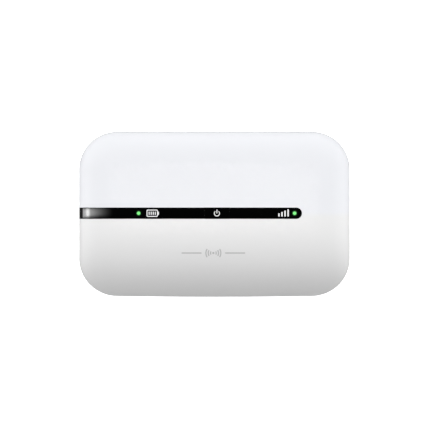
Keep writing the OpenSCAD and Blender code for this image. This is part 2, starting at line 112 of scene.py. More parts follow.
class Solid:
    """One mesh object on the bench, with the steps that shape it."""

    def __init__(self, obj: bpy.types.Object) -> None:
        """Takes up a mesh object that is at the origin, unturned and unscaled."""
        self.obj = obj

    @classmethod
    def block(cls, name: str, low: Vector, high: Vector) -> "Solid":
        """Adds a block between two corners.

        Args:
            name: the object's name.
            low: the lowest corner.
            high: the highest corner.

        Returns:
            The block, with its place in its mesh.
        """
        bpy.ops.object.select_all(action="DESELECT")
        bpy.ops.mesh.primitive_cube_add(size=1, location=(low + high) / 2)
        obj = bpy.context.active_object
        obj.scale = high - low
        obj.name = name
        obj.data.name = name
        bpy.ops.object.transform_apply(location=True, rotation=True, scale=True)
        return cls(obj)

    @classmethod
    def rod(cls, name: str, foot: Vector, radius: float, height: float, sides: int = 48) -> "Solid":
        """Adds an upright cylinder.

        Args:
            name: the object's name.
            foot: the centre of its lower end.
            radius: its radius.
            height: its height.
            sides: how many sides it has.

        Returns:
            The cylinder, with its place in its mesh.
        """
        bpy.ops.object.select_all(action="DESELECT")
        centre = foot + Vector((0, 0, height / 2))
        bpy.ops.mesh.primitive_cylinder_add(vertices=sides, radius=radius, depth=height, location=centre)
        obj = bpy.context.active_object
        obj.name = name
        obj.data.name = name
        bpy.ops.object.transform_apply(location=True, rotation=True, scale=True)
        return cls(obj)

    def activate(self) -> None:
        """Makes this the only selected object and the active one."""
        bpy.ops.object.select_all(action="DESELECT")
        self.obj.select_set(True)
        bpy.context.view_layer.objects.active = self.obj

    @contextmanager
    def picked(self, kind: Element, test: Test) -> Iterator[int]:
        """Opens edit mode with only the wanted elements selected.

        Args:
            kind: vertices, edges or faces.
            test: says whether an element is wanted.

        Yields:
            How many were selected.
        """
        self.activate()
        bpy.ops.object.mode_set(mode="EDIT")
        bpy.ops.mesh.select_mode(type=kind.value)
        bpy.ops.mesh.select_all(action="DESELECT")
        mesh = bmesh.from_edit_mesh(self.obj.data)
        elements = {Element.VERTEX: mesh.verts, Element.EDGE: mesh.edges, Element.FACE: mesh.faces}[kind]
        wanted = [element for element in elements if test(element)]
        for element in wanted:
            element.select = True
        mesh.select_flush_mode()
        bmesh.update_edit_mesh(self.obj.data)
        yield len(wanted)
        bpy.ops.object.mode_set(mode="OBJECT")

    def apply(self, kind: str, **settings: Any) -> "Solid":
        """Adds a modifier, sets it and applies it.

        Args:
            kind: the modifier's type.
            **settings: its settings.

        Returns:
            This solid.
        """
        modifier = self.obj.modifiers.new(kind.lower(), kind)
        for name, value in settings.items():
            setattr(modifier, name, value)
        self.activate()
        bpy.ops.object.modifier_apply(modifier=modifier.name)
        return self

    def combine(self, other: "Solid", how: Join) -> "Solid":
        """Combines this solid with another, which is used up.

        Args:
            other: the second solid.
            how: cut it out, add it, or keep what they share.

        Returns:
            This solid.
        """
        self.apply("BOOLEAN", operation=how.value, object=other.obj, solver="EXACT")
        other.remove()
        return self

    def copy(self, name: str) -> "Solid":
        """Copies this solid with a mesh of its own.

        Args:
            name: the copy's name.

        Returns:
            The copy.
        """
        twin = self.obj.copy()
        twin.data = self.obj.data.copy()
        twin.name = name
        twin.data.name = name
        bpy.context.scene.collection.objects.link(twin)
        return Solid(twin)

    def remove(self) -> None:
        """Takes this solid off the bench."""
        mesh = self.obj.data
        bpy.data.objects.remove(self.obj)
        bpy.data.meshes.remove(mesh)

    def join(self, others: Sequence["Solid"]) -> "Solid":
        """Joins separate lumps into this object.

        Args:
            others: the lumps, which are used up.

        Returns:
            This solid.
        """
        self.activate()
        for other in others:
            other.obj.select_set(True)
        bpy.ops.object.join()
        return self

    def turn(self, angle: float, axis: str, centre: Vector) -> "Solid":
        """Turns the whole mesh about a point.

        Args:
            angle: the turn in radians, by the right-hand rule.
            axis: X, Y or Z.
            centre: the point that stays where it is.

        Returns:
            This solid.
        """
        with self.picked(Element.VERTEX, everything):
            bpy.ops.transform.rotate(value=-angle, orient_axis=axis, center_override=centre)
        return self

    def shift(self, way: Vector) -> "Solid":
        """Moves the whole mesh.

        Args:
            way: how far it moves.

        Returns:
            This solid.
        """
        with self.picked(Element.VERTEX, everything):
            bpy.ops.transform.translate(value=way)
        return self

    def bevel(
        self, test: Test, width: float, segments: int, profile: float = 0.5, clamp: bool = False
    ) -> "Solid":
        """Bevels the wanted edges.

        Args:
            test: says whether an edge is wanted.
            width: the bevel's width.
            segments: faces across it.
            profile: the shape of its curve; 0.5 is round.
            clamp: whether it stops where it would overlap.

        Returns:
            This solid.
        """
        with self.picked(Element.EDGE, test) as count:
            if count:
                bpy.ops.mesh.bevel(
                    offset=width, segments=segments, profile=profile, affect="EDGES", clamp_overlap=clamp
                )
        return self

    def ease_edges(
        self, width: float, segments: int = 2, sharp: float = 40.0, test: Test = everything
    ) -> "Solid":
        """Breaks the sharp edges with a small round.

        Args:
            width: the round's width.
            segments: faces across the round.
            sharp: the smallest angle between faces, in degrees, that counts as an edge.
            test: says which of those edges to ease.

        Returns:
            This solid.
        """
        limit = math.radians(sharp)

        def is_sharp(edge: Any) -> bool:
            """Says whether an edge is sharp and wanted."""
            return len(edge.link_faces) == 2 and edge.calc_face_angle(0.0) > limit and test(edge)

        return self.bevel(is_sharp, width, segments, clamp=True)

    def finish_surface(self, smooth_below: float = 42.0) -> "Solid":
        """Cleans the mesh and sets its shading.

        Args:
            smooth_below: edges flatter than this angle, in degrees, are shaded smooth.

        Returns:
            This solid.
        """
        with self.picked(Element.VERTEX, everything):
            bpy.ops.mesh.remove_doubles(threshold=0.002 * MM)
            bpy.ops.mesh.normals_make_consistent(inside=False)
        self.activate()
        bpy.ops.object.shade_smooth_by_angle(angle=math.radians(smooth_below))
        self.apply("WEIGHTED_NORMAL", keep_sharp=True, weight=50)
        return self


# ---------------------------------------------------------------------------------------------
# Materials: shader maths as expressions
# ---------------------------------------------------------------------------------------------


class Term:
    """A value in a node tree. Arithmetic on it adds Math nodes."""

    def __init__(self, graph: "Graph", socket: bpy.types.NodeSocket) -> None:
        """Wraps an output socket of a tree."""
        self.graph = graph
        self.socket = socket

    def _maths(self, operation: str, *values: Union["Term", Number]) -> "Term":
        """Adds one Math node."""
        return self.graph.node("ShaderNodeMath", {"operation": operation}, dict(enumerate(values)))[0]

    def __add__(self, other: Union["Term", Number]) -> "Term":
        """Self plus other."""
        return self._maths("ADD", self, other)

    def __radd__(self, other: Number) -> "Term":
        """Other plus self."""
        return self._maths("ADD", other, self)

    def __sub__(self, other: Union["Term", Number]) -> "Term":
        """Self minus other."""
        return self._maths("SUBTRACT", self, other)

    def __rsub__(self, other: Number) -> "Term":
        """Other minus self."""
        return self._maths("SUBTRACT", other, self)

    def __mul__(self, other: Union["Term", Number]) -> "Term":
        """Self times other."""
        return self._maths("MULTIPLY", self, other)

    def __rmul__(self, other: Number) -> "Term":
        """Other times self."""
        return self._maths("MULTIPLY", other, self)

    def __neg__(self) -> "Term":
        """Self with its sign changed."""
        return self._maths("MULTIPLY", self, -1.0)

    def __pow__(self, power: Number) -> "Term":
        """Self to a power."""
        return self._maths("POWER", self, power)

    def size(self) -> "Term":
        """The value without its sign."""
        return self._maths("ABSOLUTE", self)

    def wrapped(self, step: float) -> "Term":
        """The remainder after whole steps, always positive."""
        return self._maths("FLOORED_MODULO", self, step)

    def ramp(self, start: float, end: float, low: float = 0.0, high: float = 1.0) -> "Term":
        """Runs smoothly from one value to another.

        Args:
            start: where the run begins.
            end: where it ends.
            low: the value at its start.
            high: the value at its end.

        Returns:
            The eased value, held at both ends.
        """
        settings = {"interpolation_type": "SMOOTHSTEP"}
        feeds = {0: self, 1: start, 2: end, 3: low, 4: high}
        return self.graph.node("ShaderNodeMapRange", settings, feeds)[0]


Feed = Union[Term, Number, Sequence[float]]


class Graph:
    """A node tree that is built from expressions."""

    def __init__(self, tree: bpy.types.NodeTree) -> None:
        """Takes up a material's tree or the world's, and empties it."""
        self.tree = tree
        tree.nodes.clear()

    def node(self, kind: str, settings: Optional[dict] = None, feeds: Optional[dict] = None) -> list[Term]:
        """Adds a node of any kind.

        Args:
            kind: the node's type.
            settings: its settings, which are set first.
            feeds: a value or a link for each socket, by its name or number.

        Returns:
            The node's outputs.
        """
        made = self.tree.nodes.new(kind)
        for name, value in (settings or {}).items():
            setattr(made, name, value)
        for key, value in (feeds or {}).items():
            if isinstance(value, Term):
                self.tree.links.new(value.socket, made.inputs[key])
            else:
                made.inputs[key].default_value = value
        return [Term(self, output) for output in made.outputs]

    def place(self, centre: Vector = Vector((0, 0, 0)), stretch: Colour = (1, 1, 1)) -> Term:
        """Gives the place on the piece, about a centre.

        Args:
            centre: the point that becomes the pattern's origin.
            stretch: how much the pattern is squeezed along each axis.

        Returns:
            A vector in metres.
        """
        coordinates = self.node("ShaderNodeTexCoord")[3]
        moved = self.node("ShaderNodeVectorMath", {"operation": "SUBTRACT"}, {0: coordinates, 1: centre})[0]
        return self.node("ShaderNodeMapping", {}, {"Vector": moved, "Scale": stretch})[0]

    def axes(self, vector: Term) -> tuple[Term, Term, Term]:
        """Splits a vector into X, Y and Z."""
        x, y, z = self.node("ShaderNodeSeparateXYZ", {}, {0: vector})
        return x, y, z

    def noise(self, vector: Term, grain: float, detail: float = 2.0, roughness: float = 0.5) -> Term:
        """Gives an uneven value from 0 to 1.

        Args:
            vector: the place.
            grain: the size of its patches, in metres.
            detail: how many finer layers it has.
            roughness: how strong the finer layers are.

        Returns:
            The value.
        """
        feeds = {"Vector": vector, "Scale": 1 / grain, "Detail": detail, "Roughness": roughness}
        return self.node("ShaderNodeTexNoise", {}, feeds)[0]

    def blend(self, share: Term, first: Union[Term, Colour], second: Union[Term, Colour]) -> Term:
        """Mixes two colours.

        Args:
            share: how much of the second there is, from 0 to 1.
            first: the first colour.
            second: the second colour.

        Returns:
            The mixed colour.
        """
        colours = [one if isinstance(one, Term) else (*one, 1.0) for one in (first, second)]
        feeds = {0: share, 6: colours[0], 7: colours[1]}
        return self.node("ShaderNodeMix", {"data_type": "RGBA"}, feeds)[2]

    def bump(self, height: Term, depth: float) -> Term:
        """Turns a height from 0 to 1, of a depth in metres, into a direction for a Normal socket."""
        return self.node("ShaderNodeBump", {}, {"Height": height, "Distance": depth})[0]


@dataclass(frozen=True)
class Finish:
    """A finish that a piece can wear. Each kind of finish adds its own pattern."""

    name: str
    colour: Colour
    roughness: float
    metallic: float = 0.0
    coat: float = 0.0
    coat_roughness: float = 0.04
    glow_strength: float = 0.0
    grain: float = 0.5 * MM
    depth: float = 0.004 * MM

    def material(self) -> bpy.types.Material:
        """Builds the material.

        Returns:
            A new material with its node tree.
        """
        made = bpy.data.materials.new(self.name)
        made.use_nodes = True
        graph = Graph(made.node_tree)
        feeds = {
            "Base Color": (*self.colour, 1.0),
            "Roughness": self.roughness,
            "Metallic": self.metallic,
            "Coat Weight": self.coat,
            "Coat Roughness": self.coat_roughness,
            "Emission Strength": self.glow_strength,
        }
        feeds.update(self.pattern(graph))
        surface = graph.node("ShaderNodeBsdfPrincipled", {}, feeds)[0]
        graph.node("ShaderNodeOutputMaterial", {}, {"Surface": surface})
        return made

    def pattern(self, graph: Graph) -> dict[str, Term]:
        """Says what changes over the surface.

        Args:
            graph: the material's tree.

        Returns:
            A term for each socket that it drives.
        """
        raise NotImplementedError

    def shade(self, graph: Graph, share: Term, amount: float) -> Term:
        """Darkens the colour by up to an amount, where the share says so."""
        darker = tuple(channel * (1 - amount) for channel in self.colour)
        return graph.blend(share, self.colour, darker)


@dataclass(frozen=True)
class Moulded(Finish):
    """Moulded plastic: a faint flow in its colour, fine handling marks and a shallow texture."""

    mottle: float = 0.02
    haze: float = 0.05

    def pattern(self, graph: Graph) -> dict[str, Term]:
        """Gives the flow, the haze and the texture.

        Args:
            graph: the material\'s tree.

        Returns:
            A term for each socket that it drives.
        """
        place = graph.place()
        flow = graph.noise(place, 9 * MM, 2.0)
        marks = graph.noise(graph.place(stretch=(1, 3, 1)), 2.5 * MM, 4.0, 0.6)
        skin = graph.noise(place, self.grain, 3.0, 0.55)
        return {
            "Base Color": self.shade(graph, flow.ramp(0.35, 0.7), self.mottle),
            "Roughness": self.roughness + marks.ramp(0.4, 0.75) * self.haze,
            "Normal": graph.bump(skin, self.depth),
        }


@dataclass(frozen=True)
class ShadeTintedCasing(Moulded):
    """White casing whose lower part, past a line, is painted a touch warmer: a painted shade tone, the
    neutral tint that the shade on the lower half has.
    """

    shade_tone: Colour = (0.8, 0.8, 0.8)
    line_y: float = 0.0

    def pattern(self, graph: Graph) -> dict[str, Term]:
        """Adds the painted shade tone to the moulded look.

        Args:
            graph: the material\'s tree.

        Returns:
            A term for each socket that it drives.
        """
        parts = super().pattern(graph)
        _x, y, _z = graph.axes(graph.place())
        # painted shade: below the line the colour turns to the neutral tone of the shaded lower half
        below = 1 - y.ramp(self.line_y - 1.5 * MM, self.line_y + 1.5 * MM)
        parts["Base Color"] = graph.blend(below, parts["Base Color"], self.shade_tone)
        return parts


@dataclass(frozen=True)
class LensBlack(Finish):
    """Black window plastic: deep gloss with the faintest dust and wipe marks."""

    def pattern(self, graph: Graph) -> dict[str, Term]:
        """Gives the wipe marks.

        Args:
            graph: the material\'s tree.

        Returns:
            A term for each socket that it drives.
        """
        place = graph.place()
        wipes = graph.noise(graph.place(stretch=(0.4, 2.5, 1)), 1.6 * MM, 4.0, 0.6)
        specks = graph.noise(place, 0.25 * MM, 1.0)
        lift = tuple(channel + 0.003 for channel in self.colour)
        return {
            "Base Color": graph.blend(specks.ramp(0.72, 0.8), self.colour, lift),
            "Roughness": self.roughness + wipes.ramp(0.5, 0.8) * 0.03,
        }


@dataclass(frozen=True)
class LitPipe(Finish):
    """A light pipe that is lit from below: brightest at its middle."""

    glow_strength: float = 1.0
    glow: Colour = (0.24, 0.92, 0.26)
    centre: tuple[float, float] = (0.0, 0.0)
    radius: float = 0.9 * MM

    def pattern(self, graph: Graph) -> dict[str, Term]:
        """Gives the glow's fall towards the rim.

        Args:
            graph: the material\'s tree.

        Returns:
            A term for each socket that it drives.
        """
        x, y, _z = graph.axes(graph.place(Vector((*self.centre, 0))))
        away = (x * x + y * y) ** 0.5 * (1 / self.radius)
        cloud = graph.noise(graph.place(), 0.5 * MM, 2.0)
        rim = tuple(channel * 0.03 for channel in self.glow)
        bright = graph.blend(away.ramp(0.6, 0.8), self.glow, rim)
        return {
            "Emission Color": graph.blend(cloud.ramp(0.3, 1.0) * 0.2, bright, self.glow),
            "Roughness": self.roughness + cloud * 0.08,
        }


@dataclass(frozen=True)
class RolledMetal(Finish):
    """Sheet or turned metal: fine lines along one axis and a worn, uneven shine."""

    run: Colour = (0.06, 1, 1)

    def pattern(self, graph: Graph) -> dict[str, Term]:
        """Gives the lines and the wear.

        Args:
            graph: the material\'s tree.

        Returns:
            A term for each socket that it drives.
        """
        lines = graph.noise(graph.place(stretch=self.run), self.grain, 3.0, 0.6)
        wear = graph.noise(graph.place(), 3 * MM, 3.0)
        return {
            "Base Color": self.shade(graph, lines.ramp(0.3, 0.8), 0.14),
            "Roughness": self.roughness + wear.ramp(0.3, 0.8) * 0.14,
            "Normal": graph.bump(lines, self.depth),
        }


@dataclass(frozen=True)
class CircuitBoard(Finish):
    """Solder mask over copper: rows of traces, a sprinkle of vias and a woven core."""

    copper: Colour = (0.05, 0.3, 0.14)
    gold: Colour = (0.75, 0.56, 0.24)
    pitch: float = 0.8 * MM

    def pattern(self, graph: Graph) -> dict[str, Term]:
        """Gives the traces, the vias and the weave.

        Args:
            graph: the material\'s tree.

        Returns:
            A term for each socket that it drives.
        """
        place = graph.place()
        x, y, _z = graph.axes(place)
        sway = graph.noise(place, 7 * MM, 0.0).ramp(0.45, 0.5, 0.0, self.pitch * 6)
        rows = ((y + sway).wrapped(self.pitch) - self.pitch / 2).size()
        trace = 1 - rows.ramp(self.pitch * 0.14, self.pitch * 0.2)
        zone = graph.noise(place, 10 * MM, 1.0).ramp(0.48, 0.5)
        cell = {"Vector": place, "Scale": 1 / (2.4 * MM)}
        dots = graph.node("ShaderNodeTexVoronoi", {}, cell)[0]
        via = 1 - dots.ramp(0.1, 0.13)
        weave = (x * (1 / (0.5 * MM))).wrapped(1.0).ramp(0.0, 1.0) * (y * (1 / (0.5 * MM))).wrapped(1.0)
        masked = graph.blend(trace * zone, self.colour, self.copper)
        return {
            "Base Color": graph.blend(via, masked, self.gold),
            "Metallic": via * 0.8,
            "Roughness": self.roughness + weave * 0.1,
            "Normal": graph.bump(trace * zone + via, self.depth),
        }


@dataclass(frozen=True)
class ChipEpoxy(Finish):
    """Moulded epoxy of a chip: matt and grainy, with paler grains."""

    def pattern(self, graph: Graph) -> dict[str, Term]:
        """Gives the grain.

        Args:
            graph: the material\'s tree.

        Returns:
            A term for each socket that it drives.
        """
        place = graph.place()
        grain = graph.noise(place, self.grain, 4.0, 0.7)
        lift = tuple(channel * 1.6 for channel in self.colour)
        return {
            "Base Color": graph.blend(grain.ramp(0.45, 0.75), self.colour, lift),
            "Roughness": self.roughness + grain * 0.15,
            "Normal": graph.bump(grain, self.depth),
        }


@dataclass(frozen=True)
class Fibrous(Finish):
    """Paper or film: short fibres and a soft unevenness."""

    def pattern(self, graph: Graph) -> dict[str, Term]:
        """Gives the fibres.

        Args:
            graph: the material\'s tree.

        Returns:
            A term for each socket that it drives.
        """
        fibres = graph.noise(graph.place(stretch=(1, 5, 1)), self.grain, 4.0, 0.7)
        cloud = graph.noise(graph.place(), 6 * MM, 2.0)
        return {
            "Base Color": self.shade(graph, fibres.ramp(0.4, 0.8) * 0.6 + cloud.ramp(0.4, 0.8) * 0.4, 0.05),
            "Roughness": self.roughness + fibres * 0.1,
            "Normal": graph.bump(fibres, self.depth),
        }


@dataclass(frozen=True)
class OpenFoam(Finish):
    """Foam or soft rubber: small open cells."""

    def pattern(self, graph: Graph) -> dict[str, Term]:
        """Gives the cells.

        Args:
            graph: the material\'s tree.

        Returns:
            A term for each socket that it drives.
        """
        cells = graph.node("ShaderNodeTexVoronoi", {}, {"Vector": graph.place(), "Scale": 1 / self.grain})[0]
        return {
            "Base Color": self.shade(graph, 1 - cells.ramp(0.1, 0.5), 0.4),
            "Roughness": self.roughness + cells * 0.1,
            "Normal": graph.bump(cells, self.depth),
        }


WHITE_CASING = Moulded(
    "white_casing", (0.80, 0.81, 0.835), 0.08, grain=5 * MM, depth=0.0006 * MM, mottle=0.006, haze=0.03
)
# front casing: its lower half carries a painted shade tone
WHITE_FRONT = ShadeTintedCasing(
    "white_front", (0.80, 0.81, 0.84), 0.08, grain=5 * MM, depth=0.0006 * MM, mottle=0.006, haze=0.03
)
PALE_FRAME = Moulded("pale_frame", (0.74, 0.74, 0.76), 0.42, grain=0.18 * MM, depth=0.006 * MM)
STRIP_BLACK = LensBlack("strip_black", (0.0005, 0.0005, 0.0006), 0.045)
DULL_BLACK = Moulded("dull_black", (0.018, 0.018, 0.019), 0.48, grain=0.15 * MM, depth=0.008 * MM)
TAPE_BLACK = Fibrous("tape_black", (0.03, 0.03, 0.03), 0.6, grain=0.2 * MM)
PRINT_WHITE = Fibrous("print_white", (0.9, 0.9, 0.9), 0.3, grain=0.1 * MM, depth=0.001 * MM)
PRINT_GREY = Fibrous("print_grey", (0.5, 0.5, 0.5), 0.3, grain=0.1 * MM, depth=0.001 * MM)
LED_RESIN = Moulded("led_resin", (0.8, 0.82, 0.6), 0.25, coat=0.5, grain=0.2 * MM)
SOFT_GREY = OpenFoam("soft_grey", (0.36, 0.38, 0.41), 0.7, grain=0.25 * MM, depth=0.01 * MM)
FOAM_BLACK = OpenFoam("foam_black", (0.05, 0.05, 0.052), 0.85, grain=0.3 * MM, depth=0.05 * MM)
BOARD_GREEN = CircuitBoard("board_green", (0.012, 0.13, 0.06), 0.3, depth=0.03 * MM)
TINNED_STEEL = RolledMetal("tinned_steel", (0.62, 0.62, 0.64), 0.26, 1.0, grain=0.12 * MM, depth=0.003 * MM)
CHIP_BLACK = ChipEpoxy("chip_black", (0.02, 0.02, 0.022), 0.55, grain=0.12 * MM, depth=0.006 * MM)
CERAMIC = ChipEpoxy("ceramic", (0.36, 0.27, 0.19), 0.4, grain=0.1 * MM)
GOLD_CONTACT = RolledMetal("gold_contact", (0.86, 0.62, 0.25), 0.18, 1.0, grain=0.1 * MM)
ANTENNA_COPPER = RolledMetal("antenna_copper", (0.83, 0.45, 0.27), 0.3, 1.0, grain=0.15 * MM)
ANTENNA_STEEL = RolledMetal("antenna_steel", (0.66, 0.63, 0.56), 0.3, 1.0, grain=0.15 * MM)
INSERT_BRASS = RolledMetal("insert_brass", (0.72, 0.53, 0.24), 0.3, 1.0, grain=0.2 * MM)
SCREW_STEEL = RolledMetal("screw_steel", (0.3, 0.3, 0.32), 0.32, 1.0, grain=0.2 * MM, run=(1, 1, 0.06))
LABEL_PAPER = Fibrous("label_paper", (0.85, 0.85, 0.83), 0.5, grain=0.25 * MM)
BATTERY_CAN = RolledMetal("battery_can", (0.66, 0.67, 0.69), 0.3, 1.0, grain=0.2 * MM)
BATTERY_WRAP = Fibrous("battery_wrap", (0.035, 0.038, 0.045), 0.34, grain=0.4 * MM)

SLOT_FINISH: dict[str, Finish] = {
    "white_shell": WHITE_CASING,
    "frame_plastic": PALE_FRAME,
    "black_lens": STRIP_BLACK,
    "black_plastic": DULL_BLACK,
    "tape": TAPE_BLACK,
    "led_body": LED_RESIN,
    "grey_rubber": SOFT_GREY,
    "circuit_board": BOARD_GREEN,
    "tinned_steel": TINNED_STEEL,
    "chip_epoxy": CHIP_BLACK,
    "ceramic": CERAMIC,
    "gold_contact": GOLD_CONTACT,
    "antenna_copper": ANTENNA_COPPER,
    "antenna_steel": ANTENNA_STEEL,
    "insert_brass": INSERT_BRASS,
    "screw_steel": SCREW_STEEL,
    "paper_label": LABEL_PAPER,
    "battery_can": BATTERY_CAN,
    "battery_wrap": BATTERY_WRAP,
    "foam": FOAM_BLACK,
}


class Wardrobe:
    """Makes each finish's material once and puts it on pieces."""

    def __init__(self) -> None:
        """Starts with no material made."""
        self.made: dict[Finish, bpy.types.Material] = {}

    def put(self, obj: bpy.types.Object, finish: Finish) -> None:
        """Puts a finish on a piece.

        Args:
            obj: the piece.
            finish: its finish.
        """
        if finish not in self.made:
            self.made[finish] = finish.material()
        if not obj.material_slots:
            obj.data.materials.append(self.made[finish])
        for slot in obj.material_slots:
            slot.material = self.made[finish]


def settle(solid: Solid, body: str, replaces: Sequence[str] = ()) -> None:
    """Ties a finished piece to the frame.

    Args:
        solid: the piece.
        body: the body that it rides on.
        replaces: the CAD nodes that it stands for.
    """
    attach(solid.obj, body)
    if replaces:
        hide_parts(*replaces)
    log.info("%s: %d faces on %s", solid.obj.name, len(solid.obj.data.polygons), body)


# ---------------------------------------------------------------------------------------------
# The casing's form
# ---------------------------------------------------------------------------------------------


@dataclass(frozen=True)
class CasingForm:
    """Outline and sections that both halves share."""

    half_w: float
    half_d: float
    top: float
    front_base: float
    strip_y: float
    corner_r: float = 14 * MM
    front_run: float = 13 * MM
    front_fullness: float = 2.2
    back_run: float = 9 * MM
    back_fullness: float = 2.4
    seam: float = 0.15 * MM
    land: float = 0.15 * MM
    fall_r: float = 200 * MM
    bottom_bow: float = 0.35 * MM
    corner_faces: int = 28
    rim_faces: int = 26
    fall_line_start: float = -3 * MM
    fall_line_step: float = 1.5 * MM
    fall_lines: int = 18
    bow_zone_y: float = -17.6 * MM
    bow_line_step: float = 4 * MM
    bow_lines_a_side: int = 8
    cage_margin: float = 6 * MM
    cage_points: tuple[int, int, int] = (15, 21, 2)

    @classmethod
    def from_frame(cls) -> "CasingForm":
        """Takes the casing's size from the frame.

        Returns:
            The form.
        """
        low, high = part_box("front_shell")
        strip_low, strip_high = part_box("signal_lens")
        return cls(high.x, high.y, high.z, low.z, (strip_low.y + strip_high.y) / 2)

    @property
    def part_z(self) -> float:
        """Height of the back half's edge."""
        return self.front_base - self.seam

    @staticmethod
    def _profile(fullness: float) -> float:
        """Bevel profile whose curve is a superellipse of that exponent."""
        return 2 ** (-2 / fullness)

    def _slab(self, name: str, inset: float, base: float, run: float, rise: float, fullness: float) -> Solid:
        """Rounds a slab's corners and then its rim, and squeezes it to its height.

        Args:
            name: the object's name.
            inset: how far inside the outline it lies.
            base: the height of its flat side.
            run: how far in from the edge the rim's curve starts.
            rise: its height.
            fullness: the exponent of the rim's curve.

        Returns:
            The slab.
        """
        squeeze = (rise - self.land) / run
        tall = rise / squeeze
        reach = Vector((self.half_w - inset, self.half_d - inset, 0))
        slab = Solid.block(name, Vector((-reach.x, -reach.y, base)), Vector((reach.x, reach.y, base + tall)))

        slab.bevel(runs_along(2, tall / 2), self.corner_r - inset, self.corner_faces)
        slab.bevel(above(base + tall * 0.99), run, self.rim_faces, self._profile(fullness))
        with slab.picked(Element.VERTEX, everything):
            bpy.ops.transform.resize(value=(1, 1, squeeze), center_override=(0, 0, base))
        return slab

    def _score(self, slab: Solid, axis: Vector, places: Iterable[float], test: Test) -> None:
        """Cuts lines across the wanted faces, so that they can bend.

        Args:
            slab: the solid.
            axis: the direction in which the lines follow each other.
            places: where the lines are along it.
            test: says whether a face is wanted.
        """
        for place in places:
            with slab.picked(Element.FACE, test):
                bpy.ops.mesh.bisect(plane_co=axis * place, plane_no=axis)

    def _bend(self, slab: Solid, falls: bool) -> None:
        """Bends a solid inside a lattice, to bow its bottom edge.

        Args:
            slab: the solid.
            falls: whether its lower half also falls away from the strip.
        """
        margin = self.cage_margin
        size = Vector((self.half_w + margin, self.half_d + margin, (self.top - self.front_base) / 2)) * 2
        middle = Vector((0, 0, self.front_base + size.z / 2))
        bpy.ops.object.select_all(action="DESELECT")
        bpy.ops.object.add(type="LATTICE", location=middle)
        cage = bpy.context.active_object
        cage.scale = size
        grid = cage.data
        grid.points_u, grid.points_v, grid.points_w = self.cage_points
        grid.interpolation_type_w = "KEY_LINEAR"
        bpy.context.view_layer.update()
        for point in grid.points:
            rest = cage.matrix_world @ point.co
            shift = self._bow(rest)
            if falls and point.co.z > 0:
                shift.z -= self.fall(rest.y)
            point.co_deform = cage.matrix_world.inverted() @ (rest + shift)
        slab.apply("LATTICE", object=cage)
        bpy.data.objects.remove(cage)
        bpy.data.lattices.remove(grid)

    def fall(self, y: float) -> float:
        """How far the front's surface has fallen at a place below the strip."""
        return max(0.0, self.strip_y - y) ** 2 / (2 * self.fall_r)

    def _bow(self, place: Vector) -> Vector:
        """Shift that bows the bottom edge, up towards its corners.

        Args:
            place: a point before it is bent.

        Returns:
            How far it moves.
        """
        along = min(1.0, abs(place.x) / (self.half_w - self.corner_r)) ** 2
        down = max(0.0, -place.y / self.half_d)
        return Vector((0.0, self.bottom_bow * down * along, 0.0))

    def front(self, name: str, inset: float = 0.0, skirt: float = 0.0) -> Solid:
        """Makes the front half as a closed solid.

        Args:
            name: the object's name.
            inset: how far below the surface it lies.
            skirt: how far it runs on below the parting line.

        Returns:
            The solid.
        """
        rise = self.top - self.front_base - inset
        slab = self._slab(name, inset, self.front_base, self.front_run - inset, rise, self.front_fullness)
        lines = [self.fall_line_start - self.fall_line_step * index for index in range(self.fall_lines)]
        self._score(slab, Vector((0, 1, 0)), lines, lambda face: face.normal.z > -0.5)
        self._score_bottom(slab)
        if skirt:
            self._drop_skirt(slab, skirt)
        self._bend(slab, falls=True)
        return slab

    def back(self, name: str, inset: float = 0.0, skirt: float = 0.0) -> Solid:
        """Makes the back half as a closed solid, flat side down.

        Args:
            name: the object's name.
            inset: how far inside the surface it lies.
            skirt: how far it runs on above the parting line.

        Returns:
            The solid.
        """
        base = self.part_z
        slab = self._slab(name, inset, base, self.back_run - inset, base - inset, self.back_fullness)
        self._score_bottom(slab)
        if skirt:
            self._drop_skirt(slab, skirt)
        with slab.picked(Element.VERTEX, everything):
            bpy.ops.transform.resize(value=(1, 1, -1), center_override=(0, 0, base))
            bpy.ops.mesh.normals_make_consistent(inside=False)
        self._bend(slab, falls=False)
        return slab

    def _score_bottom(self, slab: Solid) -> None:
        """Scores the lower rim across, so that the bottom edge can bow."""
        lines = range(-self.bow_lines_a_side, self.bow_lines_a_side + 1)
        places = [index * self.bow_line_step for index in lines]
        zone_y = self.bow_zone_y
        self._score(slab, Vector((1, 0, 0)), places, lambda face: face.calc_center_median().y < zone_y)

    def _drop_skirt(self, slab: Solid, depth: float) -> None:
        """Draws the open side's face out, away from the rounded side."""
        with slab.picked(Element.FACE, lambda face: face.normal.z < -0.9):
            bpy.ops.mesh.extrude_region_move(TRANSFORM_OT_translate={"value": (0, 0, -depth)})


# ---------------------------------------------------------------------------------------------
# Casing
# ---------------------------------------------------------------------------------------------

LIGHT_PIPES = ("battery_light_pipe", "signal_light_pipe")
LIGHT_HOLE_FOOT = 10 * MM
LIGHT_HOLE_H = 6 * MM


def centre_of(node: str) -> Vector:
    """Gives the middle of a CAD node's box."""
    low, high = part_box(node)
    return (low + high) / 2


def light_cutters(radius: float) -> list[Solid]:
    """Makes an upright rod through each light, to drill its hole.

    Args:
        radius: the rods' radius.

    Returns:
        The rods.
    """
    rods = []
    for node in LIGHT_PIPES:
        centre = centre_of(node)
        foot = Vector((centre.x, centre.y, LIGHT_HOLE_FOOT))
        rods.append(Solid.rod("light_hole", foot, radius, LIGHT_HOLE_H))
    return rods


